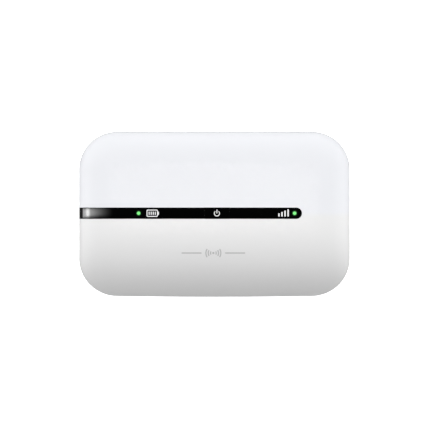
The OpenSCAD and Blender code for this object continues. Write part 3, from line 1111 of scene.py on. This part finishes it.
@dataclass
class StripSeat:
    """Plan of the strip, and the solids that follow from it."""

    form: CasingForm
    low_y: float
    high_y: float
    end_x: float
    foot: float
    fit: float = 0.05 * MM

    @classmethod
    def from_frame(cls, form: CasingForm) -> "StripSeat":
        """Takes the strip's plan from the frame's lenses.

        Args:
            form: the casing's form.

        Returns:
            The plan.
        """
        low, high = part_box("signal_lens")
        start, _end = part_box("battery_lens")
        fit = cls.fit
        return cls(form, low.y - fit, high.y + fit, high.x + fit, start.z - fit)

    def prism(self, name: str, grow: float, foot: float) -> Solid:
        """Makes the strip's plan as an upright prism, open-ended on the left.

        Args:
            name: the object's name.
            grow: how much wider than the seat it is all round.
            foot: its lowest height.

        Returns:
            The prism.
        """
        reach = 2 * MM
        low = Vector((-self.form.half_w - reach, self.low_y - grow, foot))
        high = Vector((self.end_x + grow, self.high_y + grow, self.form.top + reach))
        prism = Solid.block(name, low, high)

        def end_corner(edge: Any) -> bool:
            """Picks the two upright edges at the round end."""
            return all(vertex.co.x > 0 for vertex in edge.verts) and edge.verts[0].co.y == edge.verts[1].co.y

        radius = (high.y - low.y) / 2 * 0.9999
        return prism.bevel(end_corner, radius, 16)

    def layer(self, name: str, outer: float, inner: float, grow: float, foot: float) -> Solid:
        """Makes a layer of the strip between two depths below the surface.

        Args:
            name: the object's name.
            outer: the depth of its outside.
            inner: the depth of its inside.
            grow: how much wider than the seat it is all round.
            foot: its lowest height.

        Returns:
            The layer.
        """
        layer = self.prism(name, grow, foot)
        layer.combine(self.form.front("outer", outer), Join.KEEP_COMMON)
        layer.combine(self.form.front("inner", inner, skirt=1 * MM), Join.CUT)
        return layer


@dataclass
class SocketOpening:
    """Opening for the charging plug, which both halves share."""

    width: float = 8.8 * MM
    height: float = 3.0 * MM
    corner_r: float = 1.29 * MM
    below_shell_top: float = 1.25 * MM
    depth: float = 5 * MM
    beyond: float = 2 * MM

    def cutter(self, form: CasingForm) -> Solid:
        """Makes the solid that is cut out of the right side.

        Args:
            form: the casing's form.

        Returns:
            A block with rounded corners.
        """
        low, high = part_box("usb_tongue")
        _shell_low, shell_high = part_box("usb_shell")
        y = (low.y + high.y) / 2
        z = shell_high.z - self.below_shell_top
        reach = Vector((form.half_w - self.depth, y - self.width / 2, z - self.height / 2))
        far = Vector((form.half_w + self.beyond, y + self.width / 2, z + self.height / 2))
        return Solid.block("socket_cutter", reach, far).bevel(runs_along(0, MM), self.corner_r, 8)


@dataclass
class FrontShell:
    """White front half: a thin shell with the strip's seat, the lights' holes and the screw posts."""

    form: CasingForm
    seat: StripSeat
    opening: SocketOpening
    wall: float = 1.4 * MM
    seat_depth: float = 1.05 * MM
    bed: float = 0.9 * MM
    bed_margin: float = 1.2 * MM
    bed_lap: float = 0.3 * MM
    bed_clear: float = 0.05 * MM
    light_hole_r: float = 0.925 * MM
    post_r: float = 2.2 * MM
    post_clear: float = 1.2 * MM
    insert_r: float = 1.23 * MM
    seat_chamfer: float = 0.16 * MM
    seat_margin: float = 0.3 * MM
    edge_round: float = 0.12 * MM

    def build(self) -> Solid:
        """Makes the shell.

        Returns:
            The finished piece.
        """
        shell = self.form.front("front_casing")
        shell.combine(self.form.front("hollow", self.wall, skirt=1 * MM), Join.CUT)
        outer, inner = self.seat_depth - self.bed_lap, self.seat_depth + self.bed
        bed_foot = self.form.front_base + self.bed_clear
        bed = self.seat.layer("bed", outer, inner, self.bed_margin, bed_foot)
        shell.combine(bed, Join.ADD)
        shell.combine(self._posts(), Join.ADD)
        recess = self.seat.prism("recess", 0.0, self.seat.foot)
        recess.combine(self.form.front("floor", self.seat_depth), Join.CUT)
        shell.combine(recess, Join.CUT)
        shell.combine(self._holes(), Join.CUT)
        shell.combine(self.opening.cutter(self.form), Join.CUT)
        self._ease(shell)
        return shell.finish_surface()

    def _insert_feet(self) -> list[Vector]:
        """Gives the foot of each of the four threaded inserts.

        Returns:
            Their places.
        """
        low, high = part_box("threaded_inserts")
        radius = self.insert_r
        return [
            Vector((x, y, low.z))
            for x in (low.x + radius, high.x - radius)
            for y in (low.y + radius, high.y - radius)
        ]

    def _posts(self) -> Solid:
        """Makes the four screw posts, up into the shell's roof.

        Returns:
            The posts, as one solid of four lumps.
        """
        roof = self.form.top - self.post_clear
        posts = [Solid.rod("post", foot, self.post_r, roof - foot.z, 32) for foot in self._insert_feet()]
        block = posts[0].join(posts[1:])
        return block.combine(self.form.front("roof", self.wall / 2), Join.KEEP_COMMON)

    def _holes(self) -> Solid:
        """Makes what is drilled out: the lights' holes, the key's shaft and the inserts' bores.

        Returns:
            The cutters, as one solid of several lumps.
        """
        cutters = light_cutters(self.light_hole_r)
        left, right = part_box("battery_lens")[1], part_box("signal_lens")[0]
        low = Vector((left.x, self.seat.low_y, LIGHT_HOLE_FOOT))
        high = Vector((right.x, self.seat.high_y, self.form.top + MM))
        cutters.append(Solid.block("key_hole", low, high))
        low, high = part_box("threaded_inserts")
        depth = high.z - low.z + MM
        for foot in self._insert_feet():
            start = Vector((foot.x, foot.y, low.z - MM))
            cutters.append(Solid.rod("bore", start, self.insert_r, depth, 24))
        return cutters[0].join(cutters[1:])

    def _ease(self, shell: Solid) -> None:
        """Chamfers the strip's seat and rounds the parting edge and the socket's rim.

        Args:
            shell: the shell.
        """
        form = self.form
        margin = self.seat_margin

        def at_seat(edge: Any) -> bool:
            """Picks the seat's outer edges: those that lie on the outside.

            Args:
                edge: the edge.

            Returns:
                Whether it is one of them.
            """
            middle = middle_of(edge)
            across = self.seat.low_y - margin < middle.y < self.seat.high_y + margin
            along = middle.x < self.seat.end_x + margin
            out = any(face.normal.z > 0.05 for face in edge.link_faces)
            return across and along and out and self._near_outside(middle)

        def at_rim(edge: Any) -> bool:
            """Picks the parting edge and the socket's rim, on the outside.

            Args:
                edge: the edge.

            Returns:
                Whether it is one of them.
            """
            middle = middle_of(edge)
            on_edge = middle.z < form.front_base + 0.01 * MM
            return (on_edge or middle.x > form.half_w - 2 * MM) and self._near_outside(middle)

        shell.ease_edges(self.seat_chamfer, 2, 40, at_seat)
        shell.ease_edges(self.edge_round, 2, 40, at_rim)

    def _near_outside(self, place: Vector) -> bool:
        """Says whether a point lies on the casing's outside and not inside its wall.

        Args:
            place: the point.

        Returns:
            Whether it is near the outside.
        """
        form = self.form
        rise = form.top - form.front_base
        over_x = max(0.0, abs(place.x) - (form.half_w - form.front_run)) / form.front_run
        over_y = max(0.0, abs(place.y) - (form.half_d - form.front_run)) / form.front_run
        height = (place.z - form.front_base) / (rise - form.fall(place.y))
        reach = math.hypot(over_x, over_y)
        return reach**form.front_fullness + max(0.0, height) ** form.front_fullness > 0.9


@dataclass
class RearCover:
    """White back half: a shallow tray with clip blades, a nail notch and the socket's lower half."""

    form: CasingForm
    opening: SocketOpening
    wall: float = 1.2 * MM
    edge_round: float = 0.12 * MM
    tab_inset: float = 1.75 * MM
    tab_t: float = 0.65 * MM
    tab_w: float = 5 * MM
    tab_top: float = 8 * MM
    tab_round: float = 0.2 * MM
    tab_sunk: float = 0.8 * MM
    foot_low: float = 1.4 * MM
    foot_high: float = 0.3 * MM
    foot_lap: float = 0.3 * MM
    long_side_tabs: tuple[int, ...] = (-30, -12, 12, 30)
    short_side_tabs: tuple[int, ...] = (-8, 8)
    pick_slack: float = 0.1 * MM
    notch_x: float = 21 * MM
    notch_l: float = 9 * MM
    notch_r: float = 1.7 * MM
    notch_out: float = 0.6 * MM
    notch_up: float = 0.9 * MM
    rim_reach: float = 1.0 * MM
    rim_floor: float = 3 * MM

    def build(self) -> Solid:
        """Makes the cover.

        Returns:
            The finished piece.
        """
        cover = self.form.back("back_casing")
        cover.combine(self.form.back("hollow", self.wall, skirt=1 * MM), Join.CUT)
        cover.combine(self.opening.cutter(self.form), Join.CUT)
        cover.combine(self._notch(), Join.CUT)
        cover.ease_edges(self.edge_round, 2, 40, self._outer)
        cover.combine(self._blades(), Join.ADD)
        return cover.finish_surface()

    def _outer(self, edge: Any) -> bool:
        """Picks edges on the cover's outside, near its rim.

        Args:
            edge: the edge.

        Returns:
            Whether it is one of them.
        """
        middle = middle_of(edge)
        beyond = max(abs(middle.x) - self.form.half_w, abs(middle.y) - self.form.half_d)
        corner = Vector((abs(middle.x) - self.form.half_w, abs(middle.y) - self.form.half_d))
        corner += Vector((self.form.corner_r, self.form.corner_r))
        in_corner = corner.x > 0 and corner.y > 0
        if in_corner:
            beyond = corner.length - self.form.corner_r
        return beyond > -self.rim_reach and middle.z > self.rim_floor

    def _notch(self) -> Solid:
        """Makes the nail notch's cutter: a lying rod just outside the bottom edge.

        Returns:
            The rod.
        """
        place = (self.notch_x, -self.form.half_d - self.notch_out, self.form.part_z + self.notch_up)
        centre = Vector(place)
        foot = centre - Vector((0, 0, self.notch_l / 2))
        rod = Solid.rod("notch", foot, self.notch_r, self.notch_l, 48)
        return rod.turn(math.pi / 2, "Y", centre)

    def _blade(self, place: Vector, turn: float) -> Solid:
        """Makes one clip blade with its foot, facing outwards.

        Args:
            place: where it stands.
            turn: its turn about Z, in radians.

        Returns:
            The blade.
        """
        half = self.tab_w / 2
        edge_z = self.form.part_z
        low = Vector((-half, -self.tab_t, edge_z - self.tab_sunk))
        blade = Solid.block("blade", low, Vector((half, 0, self.tab_top)))
        blade.bevel(above(self.tab_top - self.pick_slack), self.tab_round, 3)
        foot_low = Vector((-half, -self.tab_t + 0.01 * MM, edge_z - self.foot_low))
        foot_out = self.tab_inset - self.wall + self.foot_lap
        foot_high = Vector((half - 0.01 * MM, foot_out, edge_z - self.foot_high))
        blade.combine(Solid.block("foot", foot_low, foot_high), Join.ADD)
        return blade.turn(turn, "Z", Vector((0, 0, 0))).shift(place)

    def _blades(self) -> Solid:
        """Makes all the clip blades, four on each long side and two on each short side.

        Returns:
            The blades, as one solid of twelve lumps.
        """
        blades = []
        for side in (-1, 1):
            for x in self.long_side_tabs:
                place = Vector((x * MM, side * (self.form.half_d - self.tab_inset), 0))
                blades.append(self._blade(place, 0.0 if side > 0 else math.pi))
            for y in self.short_side_tabs:
                place = Vector((side * (self.form.half_w - self.tab_inset), y * MM, 0))
                blades.append(self._blade(place, -side * math.pi / 2))
        return blades[0].join(blades[1:])


# ---------------------------------------------------------------------------------------------
# Strip, key and prints
# ---------------------------------------------------------------------------------------------


@dataclass
class IndicatorStrip:
    """Black strip: two lenses and the key between them."""

    form: CasingForm
    seat: StripSeat
    sink: float = 0.03 * MM
    thickness: float = 0.9 * MM
    edge_round: float = 0.05 * MM
    light_hole_r: float = 0.9 * MM
    key_gap: float = 0.05 * MM
    flange_h: float = 0.6 * MM
    flange_round: float = 0.1 * MM

    def lenses(self) -> tuple[Solid, Solid]:
        """Makes the two lenses.

        Returns:
            The left lens and the right one.
        """
        foot = self.seat.foot + self.seat.fit
        blank = self.seat.layer("battery_window", self.sink, self.sink + self.thickness, -self.seat.fit, foot)
        holes = light_cutters(self.light_hole_r)
        blank.combine(holes[0].join(holes[1:]), Join.CUT)
        left_end, right_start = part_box("battery_lens")[1].x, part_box("signal_lens")[0].x
        right = blank.copy("signal_window")
        self._trim(blank, left_end, 1 * MM + self.form.half_w)
        self._trim(right, -self.form.half_w - 1 * MM, right_start)
        for lens in (blank, right):
            lens.ease_edges(self.edge_round, 2, 40, self._on_top)
            lens.finish_surface()
        return blank, right

    def _trim(self, lens: Solid, start: float, end: float) -> None:
        """Cuts away the stretch of the strip between two places along X.

        Args:
            lens: the lens.
            start: where the stretch begins.
            end: where it ends.
        """
        reach = self.form.half_d
        low = Vector((start, -reach, 0))
        high = Vector((end, reach, self.form.top + MM))
        lens.combine(Solid.block("trim", low, high), Join.CUT)

    def _on_top(self, edge: Any) -> bool:
        """Picks edges of the lens's outside."""
        return any(face.normal.z > 0.3 for face in edge.link_faces) and all(
            self._depth(vertex.co) < self.thickness / 2 for vertex in edge.verts
        )

    def _depth(self, place: Vector) -> float:
        """Rough depth of a point below the casing's surface, along Z or X.

        Args:
            place: the point.

        Returns:
            Its depth.
        """
        form = self.form
        over = max(0.0, abs(place.x) - (form.half_w - form.front_run)) / form.front_run
        height = max(0.0, place.z - form.front_base) / (form.top - form.front_base)
        reach = (over**form.front_fullness + height**form.front_fullness) ** (1 / form.front_fullness)
        return (1 - reach) * (form.top - form.front_base)

    def key(self) -> Solid:
        """Makes the power key: its cap in the strip and its flange under the shell.

        Returns:
            The key.
        """
        gap = self.key_gap
        left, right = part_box("battery_lens")[1].x + gap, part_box("signal_lens")[0].x - gap
        low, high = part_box("power_key")
        cap = Solid.block(
            "power_cap",
            Vector((left, self.seat.low_y + gap, low.z + self.flange_h / 2)),
            Vector((right, self.seat.high_y - gap, high.z)),
        )
        cap.ease_edges(self.edge_round, 3, 40, above(high.z - 0.01 * MM))
        flange = Solid.block("flange", low, Vector((high.x, high.y, low.z + self.flange_h)))
        flange.ease_edges(self.flange_round)
        cap.combine(flange, Join.ADD)
        return cap.finish_surface()


@dataclass
class Prints:
    """Symbols printed on the strip, and the plain mark on the casing, as thin layers of ink."""

    form: CasingForm
    surface: float
    ink: float = 0.012 * MM
    stroke: float = 0.32 * MM
    battery_from_light: float = 5.2 * MM
    case_w: float = 4.15 * MM
    case_h: float = 2.65 * MM
    case_r: float = 0.5 * MM
    case_left: float = 2.3 * MM
    inner_r: float = 0.2 * MM
    nub_w: float = 0.42 * MM
    nub_out: float = 0.16 * MM
    nub_r: float = 0.15 * MM
    charge_w: float = 0.35 * MM
    charge_h: float = 1.2 * MM
    charge_start: float = 0.95 * MM
    charge_step: float = 0.75 * MM
    power_drop: float = 0.05 * MM
    ring_r: float = 1.1 * MM
    ring_stroke: float = 0.28 * MM
    ring_half_gap: float = 38.0
    stem_w: float = 0.3 * MM
    stem_h: float = 1.4 * MM
    stem_drop: float = 0.02 * MM
    stem_r: float = 0.14 * MM
    signal_from_light: float = 5.75 * MM
    signal_drop: float = 1.2 * MM
    bar_step: float = 1.12 * MM
    bar_w: float = 0.52 * MM
    bar_h: float = 1.18 * MM
    bar_rise: float = 0.49 * MM
    bar_r: float = 0.12 * MM
    mark_x: float = -0.4 * MM
    mark_y: float = -14.2 * MM
    mark_lift: float = 0.002 * MM
    mark_stroke: float = 0.42 * MM
    wave_radii: tuple[float, ...] = (1.25 * MM, 2.1 * MM, 2.95 * MM)
    wave_sweep: float = 66.0
    dot_size: float = 0.8 * MM
    dot_r: float = 0.39 * MM
    line_from_dot: float = 8 * MM
    line_l: float = 7.4 * MM

    def _bar(self, x: float, y: float, width: float, height: float, soft: float = 0.08 * MM) -> Solid:
        """Prints one upright bar with soft corners.

        Args:
            x: its centre.
            y: its foot.
            width: its width.
            height: its height.
            soft: its corners' radius.

        Returns:
            The bar.
        """
        low = Vector((x - width / 2, y, self.surface))
        high = Vector((x + width / 2, y + height, self.surface + self.ink))
        return Solid.block("bar", low, high).bevel(runs_along(2, self.ink / 2), soft, 4)

    def _arc(self, centre: Vector, radius: float, width: float, start: float, sweep: float) -> Solid:
        """Prints part of a ring.

        Args:
            centre: the ring's centre.
            radius: its outer radius.
            width: the stroke's width.
            start: where it starts, in degrees anticlockwise from +X.
            sweep: how far it runs, in degrees anticlockwise.

        Returns:
            The arc.
        """
        low = Vector((centre.x + radius - width, centre.y, self.surface))
        high = Vector((centre.x + radius, centre.y + 0.2 * MM, self.surface + self.ink))
        arc = Solid.block("arc", low, high)
        with arc.picked(Element.FACE, lambda face: face.normal.y > -0.5):
            bpy.ops.mesh.delete(type="FACE")
        with arc.picked(Element.FACE, everything):
            bpy.ops.mesh.spin(
                steps=max(6, round(sweep / 8)),
                angle=-math.radians(sweep),
                center=(centre.x, centre.y, self.surface),
                axis=(0, 0, 1),
                use_auto_merge=False,
            )
        with arc.picked(Element.VERTEX, everything):
            bpy.ops.mesh.remove_doubles(threshold=0.001 * MM)
            bpy.ops.mesh.normals_make_consistent(inside=False)
        return arc.turn(math.radians(start), "Z", Vector((centre.x, centre.y, 0)))

    def battery(self, x: float, y: float) -> Solid:
        """Prints the battery symbol: an outline with a nub and four charge bars.

        Args:
            x: its centre.
            y: its centre.

        Returns:
            The symbol.
        """
        width, height = self.case_w, self.case_h
        left = x - self.case_left
        frame_low = Vector((left, y - height / 2, self.surface))
        frame_high = Vector((left + width, y + height / 2, self.surface + self.ink))
        outline = Solid.block("battery_symbol", frame_low, frame_high)
        outline.bevel(runs_along(2, self.ink / 2), self.case_r, 6)
        foot = y - height / 2 + self.stroke
        double = 2 * self.stroke
        inside = self._bar(left + width / 2, foot, width - double, height - double, self.inner_r)
        with inside.picked(Element.VERTEX, everything):
            bpy.ops.transform.resize(value=(1, 1, 4), center_override=(0, 0, self.surface))
            bpy.ops.transform.translate(value=(0, 0, -self.ink))
        outline.combine(inside, Join.CUT)
        foot = y - self.charge_h / 2
        nub = self._bar(left + width + self.nub_out, foot, self.nub_w, self.charge_h, self.nub_r)
        starts = [left + self.charge_start + index * self.charge_step for index in range(4)]
        bars = [self._bar(start, foot, self.charge_w, self.charge_h) for start in starts]
        return outline.join([nub, *bars])

    def power(self, x: float, y: float) -> Solid:
        """Prints the power symbol: a ring that is open at its top, and a stem.

        Args:
            x: its centre.
            y: its centre.

        Returns:
            The symbol.
        """
        start, sweep = 90 + self.ring_half_gap, 360 - 2 * self.ring_half_gap
        ring = self._arc(Vector((x, y, 0)), self.ring_r, self.ring_stroke, start, sweep)
        ring.obj.name = "power_symbol"
        stem = self._bar(x, y - self.stem_drop, self.stem_w, self.stem_h, self.stem_r)
        return ring.join([stem])

    def signal(self, x: float, foot: float) -> Solid:
        """Prints the signal symbol: four bars, each taller than the one before.

        Args:
            x: the first bar's centre.
            foot: the bars' foot.

        Returns:
            The symbol.
        """
        bars = [
            self._bar(
                x + index * self.bar_step, foot, self.bar_w, self.bar_h + index * self.bar_rise, self.bar_r
            )
            for index in range(4)
        ]
        bars[0].obj.name = "signal_symbol"
        return bars[0].join(bars[1:])

    def mark(self) -> Solid:
        """Prints a plain mark on the casing: radio waves about a dot, between two lines.

        Returns:
            The mark, lying on the casing's slope.
        """
        form = self.form
        surface = form.top - form.fall(self.mark_y) + self.mark_lift
        centre = Vector((self.mark_x, self.mark_y, surface))
        slope = math.asin((form.strip_y - self.mark_y) / form.fall_r)
        stroke, sweep, size = self.mark_stroke, self.wave_sweep, self.dot_size
        parts = []
        for radius in self.wave_radii:
            for start in (-sweep / 2, 180 - sweep / 2):
                parts.append(self._arc(Vector((centre.x, centre.y, 0)), radius, stroke, start, sweep))
        dot = self._bar(centre.x, centre.y - size / 2, size, size, self.dot_r)
        for x in (centre.x - self.line_from_dot, centre.x + self.line_from_dot):
            parts.append(self._bar(x, centre.y - stroke / 2, self.line_l, stroke, stroke * 0.45))
        dot.obj.name = "plain_mark"
        dot.join(parts)
        dot.shift(Vector((0, 0, centre.z - self.surface)))
        return dot.turn(slope, "X", centre)


# ---------------------------------------------------------------------------------------------
# Lights, camera and floor
# ---------------------------------------------------------------------------------------------


@dataclass
class Studio:
    """Pale floor, soft light and the camera."""

    form: CasingForm
    lens: float = 200.0
    share_of_width: float = 0.629
    aim: tuple[float, float] = (0.2 * MM, -0.25 * MM)
    floor_size: float = 12.0
    floor_drop: float = 0.02 * MM
    floor_grey: float = 0.55
    floor_glow: float = 1.05
    tent_glow: float = 0.94
    roof_glow: float = 0.015
    near_glow: float = 0.2
    under_glow: float = 0.2
    far_glow: float = 0.68
    roof_band: tuple[float, float] = (0.45, 0.97)
    under_band: tuple[float, float] = (-0.3, 0.0)
    side_band: tuple[float, float] = (0.0, 0.8)
    key_power: float = 2.5
    key_size: float = 10.0
    flag_height: float = 300 * MM
    flag_edge: float = -27 * MM
    flag_reach: float = 1.0
    glint_reach: float = 300 * MM
    glint_half_w: float = 2.9 * MM
    glint_span: float = 98.0
    glint_level: float = 8.4
    glint_peak: float = 12.6
    glint_inset: float = 5 * MM
    glint_sunk: float = 3 * MM
    spread_rise: tuple[float, float] = (0.0, 60.0)
    spread_fade: tuple[float, float] = (85.0, 100.0)
    peak_rise: tuple[float, float] = (48.0, 60.0)
    peak_fade: tuple[float, float] = (62.0, 78.0)
    card: Optional[bpy.types.Object] = None

    def build(self) -> None:
        """Sets up the whole studio."""
        self._floor()
        self._sky()
        self._key()
        self._glint()
        self._camera()
        bpy.context.scene.view_settings.view_transform = "Standard"
        log.info("studio: camera, floor, tent, key and glint card")

    def _floor(self) -> None:
        """Lays a pale floor with a glow of its own, as a lit table has."""
        bpy.ops.object.select_all(action="DESELECT")
        bpy.ops.mesh.primitive_plane_add(size=self.floor_size, location=(0, 0, -self.floor_drop))
        floor = bpy.context.active_object
        floor.name = "floor"
        bpy.ops.object.transform_apply(location=True, rotation=True, scale=True)
        material = bpy.data.materials.new("pale_floor")
        material.use_nodes = True
        graph = Graph(material.node_tree)
        feeds = {
            "Base Color": (self.floor_grey, self.floor_grey, self.floor_grey, 1.0),
            "Roughness": 0.9,
            "Specular IOR Level": 0.0,
            "Emission Color": (1.0, 1.0, 1.0, 1.0),
            "Emission Strength": self.floor_glow,
        }
        surface = graph.node("ShaderNodeBsdfPrincipled", {}, feeds)[0]
        graph.node("ShaderNodeOutputMaterial", {}, {"Surface": surface})
        floor.data.materials.append(material)
        floor.visible_glossy = False

    def _sky(self) -> None:
        """Surrounds the table with a soft tent: bright walls, a dark roof and a dimmer near side."""
        world = bpy.data.worlds.new("tent")
        world.use_nodes = True
        bpy.context.scene.world = world
        graph = Graph(world.node_tree)
        _x, y, z = graph.axes(graph.node("ShaderNodeTexCoord")[0])
        roof = z.ramp(*self.roof_band, self.tent_glow, self.roof_glow)
        under = z.ramp(*self.under_band, self.under_glow)
        near = (-y).ramp(*self.side_band, 1.0, self.near_glow)
        far = y.ramp(*self.side_band, 1.0, self.far_glow)
        strength = roof * under * near * far
        sky = graph.node("ShaderNodeBackground", {}, {"Color": (1.0, 1.0, 1.0, 1.0), "Strength": strength})
        graph.node("ShaderNodeOutputWorld", {}, {"Surface": sky[0]})

    def _key(self) -> None:
        """Lights the front from far above, with a flag whose soft shadow falls on the bottom edge."""
        light = bpy.data.lights.new("key", "SUN")
        light.energy = self.key_power
        light.angle = math.radians(self.key_size)
        lamp = bpy.data.objects.new("key", light)
        lamp.visible_glossy = False
        bpy.context.scene.collection.objects.link(lamp)
        reach = self.flag_reach
        flag = Solid.block(
            "flag",
            Vector((-reach, self.flag_edge - reach, self.flag_height)),
            Vector((reach, self.flag_edge, self.flag_height + MM)),
        )
        flag.obj.visible_camera = False
        flag.obj.visible_diffuse = False
        flag.obj.visible_glossy = False

    def _glint(self) -> None:
        """Stands a slim curved card off the left side. The strip's end mirrors it."""
        form = self.form
        hub = Vector((-form.half_w + self.glint_inset, form.strip_y, form.top - self.glint_sunk))
        card = Solid.block(
            "glint_card",
            hub + Vector((-MM, -self.glint_half_w, self.glint_reach)),
            hub + Vector((0, self.glint_half_w, self.glint_reach + MM)),
        )
        with card.picked(Element.FACE, lambda face: face.normal.z > -0.5):
            bpy.ops.mesh.delete(type="FACE")
        leading_x = hub.x - 0.5 * MM
        span = math.radians(self.glint_span)
        with card.picked(Element.EDGE, lambda edge: all(vertex.co.x < leading_x for vertex in edge.verts)):
            bpy.ops.mesh.spin(steps=48, angle=span, center=hub, axis=(0, 1, 0), use_auto_merge=False)
        material = bpy.data.materials.new("glint_glow")
        material.use_nodes = True
        graph = Graph(material.node_tree)
        x, _y, z = graph.axes(graph.place(hub))
        angle = graph.node("ShaderNodeMath", {"operation": "ARCTAN2"}, {0: -x, 1: z})[0] * math.degrees(1)
        level = angle.ramp(*self.spread_rise, 0.0, self.glint_level)
        spread = level * angle.ramp(*self.spread_fade, 1.0, 0.0)
        peak = angle.ramp(*self.peak_rise, 0.0, self.glint_peak) * angle.ramp(*self.peak_fade, 1.0, 0.0)
        shine = graph.node("ShaderNodeEmission", {}, {"Strength": spread + peak})[0]
        clear = graph.node("ShaderNodeBsdfTransparent")[0]
        surface = graph.node("ShaderNodeAddShader", {}, {0: shine, 1: clear})[0]
        graph.node("ShaderNodeOutputMaterial", {}, {"Surface": surface})
        card.obj.data.materials.append(material)
        card.obj.visible_camera = False
        card.obj.visible_diffuse = False
        card.obj.visible_shadow = False
        self.card = card.obj

    def limit_glint(self, piece: bpy.types.Object) -> None:
        """Lets the card light one piece only.

        Args:
            piece: the piece that mirrors the card.
        """
        mirrors = bpy.data.collections.new("glint_mirrors")
        mirrors.objects.link(piece)
        self.card.light_linking.receiver_collection = mirrors

    def _camera(self) -> None:
        """Places the camera straight over the casing's front."""
        data = bpy.data.cameras.new("camera")
        data.lens = self.lens
        data.clip_start, data.clip_end = 0.01, 20
        camera = bpy.data.objects.new("camera", data)
        view_width = 2 * self.form.half_w / self.share_of_width
        distance = view_width / data.sensor_width * data.lens
        camera.location = (*self.aim, self.form.front_base + distance)
        bpy.context.scene.collection.objects.link(camera)
        bpy.context.scene.camera = camera


# ---------------------------------------------------------------------------------------------
# Assembly
# ---------------------------------------------------------------------------------------------


@dataclass
class CarriedPieces:
    """The CAD nodes that stay as they are and only get a finish."""

    wardrobe: Wardrobe
    lit: Sequence[str] = LIGHT_PIPES

    def dress(self) -> None:
        """Gives every node the finish of its slot, and each light pipe its own glow."""
        for part in frame["record"]["subparts"]:
            node = frame["nodes"][part["node"]]
            if part["node"] in self.lit:
                self.wardrobe.put(node, self._glow(part["node"]))
            else:
                self.wardrobe.put(node, SLOT_FINISH[part["material_slot"]])

    @staticmethod
    def _glow(node: str) -> LitPipe:
        """Makes the glow of one light pipe, about its own centre."""
        centre = centre_of(node)
        return LitPipe(f"{node}_glow", (0.004, 0.03, 0.006), 0.12, centre=(centre.x, centre.y))


def make_casing(form: CasingForm, seat: StripSeat, wardrobe: Wardrobe) -> None:
    """Makes both halves of the casing.

    Args:
        form: the casing's form.
        seat: the strip's plan.
        wardrobe: the finishes.
    """
    opening = SocketOpening()
    front = FrontShell(form, seat, opening).build()
    wardrobe.put(front.obj, WHITE_FRONT)
    settle(front, "device", ["front_shell"])
    cover = RearCover(form, opening).build()
    wardrobe.put(cover.obj, WHITE_CASING)
    settle(cover, "back_cover", ["rear_cover"])


def make_strip(form: CasingForm, seat: StripSeat, wardrobe: Wardrobe, studio: Studio) -> None:
    """Makes the strip, the key and their prints.

    Args:
        form: the casing's form.
        seat: the strip's plan.
        wardrobe: the finishes.
        studio: the lights, of which one is for the left lens alone.
    """
    strip = IndicatorStrip(form, seat)
    left, right = strip.lenses()
    studio.limit_glint(left.obj)
    key = strip.key()
    for piece, body, node in (
        (left, "device", "battery_lens"),
        (right, "device", "signal_lens"),
        (key, "power_button", "power_key"),
    ):
        wardrobe.put(piece.obj, STRIP_BLACK)
        settle(piece, body, [node])
    prints = Prints(form, form.top - strip.sink)
    left_light, right_light = (centre_of(node) for node in LIGHT_PIPES)
    signal_x = right_light.x - prints.signal_from_light
    signal_foot = right_light.y - prints.signal_drop
    battery = prints.battery(left_light.x + prints.battery_from_light, left_light.y)
    signal = prints.signal(signal_x, signal_foot)
    power = prints.power(centre_of("power_key").x, form.strip_y - prints.power_drop)
    for symbol, body, finish in (
        (battery, "device", PRINT_WHITE),
        (signal, "device", PRINT_WHITE),
        (power, "power_button", PRINT_WHITE),
        (prints.mark(), "device", PRINT_GREY),
    ):
        wardrobe.put(symbol.obj, finish)
        settle(symbol, body)


def main() -> None:
    """Builds the looks in order."""
    logging.basicConfig(level=logging.INFO, format="%(name)s: %(message)s")
    form = CasingForm.from_frame()
    seat = StripSeat.from_frame(form)
    wardrobe = Wardrobe()
    studio = Studio(form)
    studio.build()
    CarriedPieces(wardrobe).dress()
    make_casing(form, seat, wardrobe)
    make_strip(form, seat, wardrobe, studio)
    bpy.ops.object.select_all(action="DESELECT")


if __name__ == "__main__":
    main()
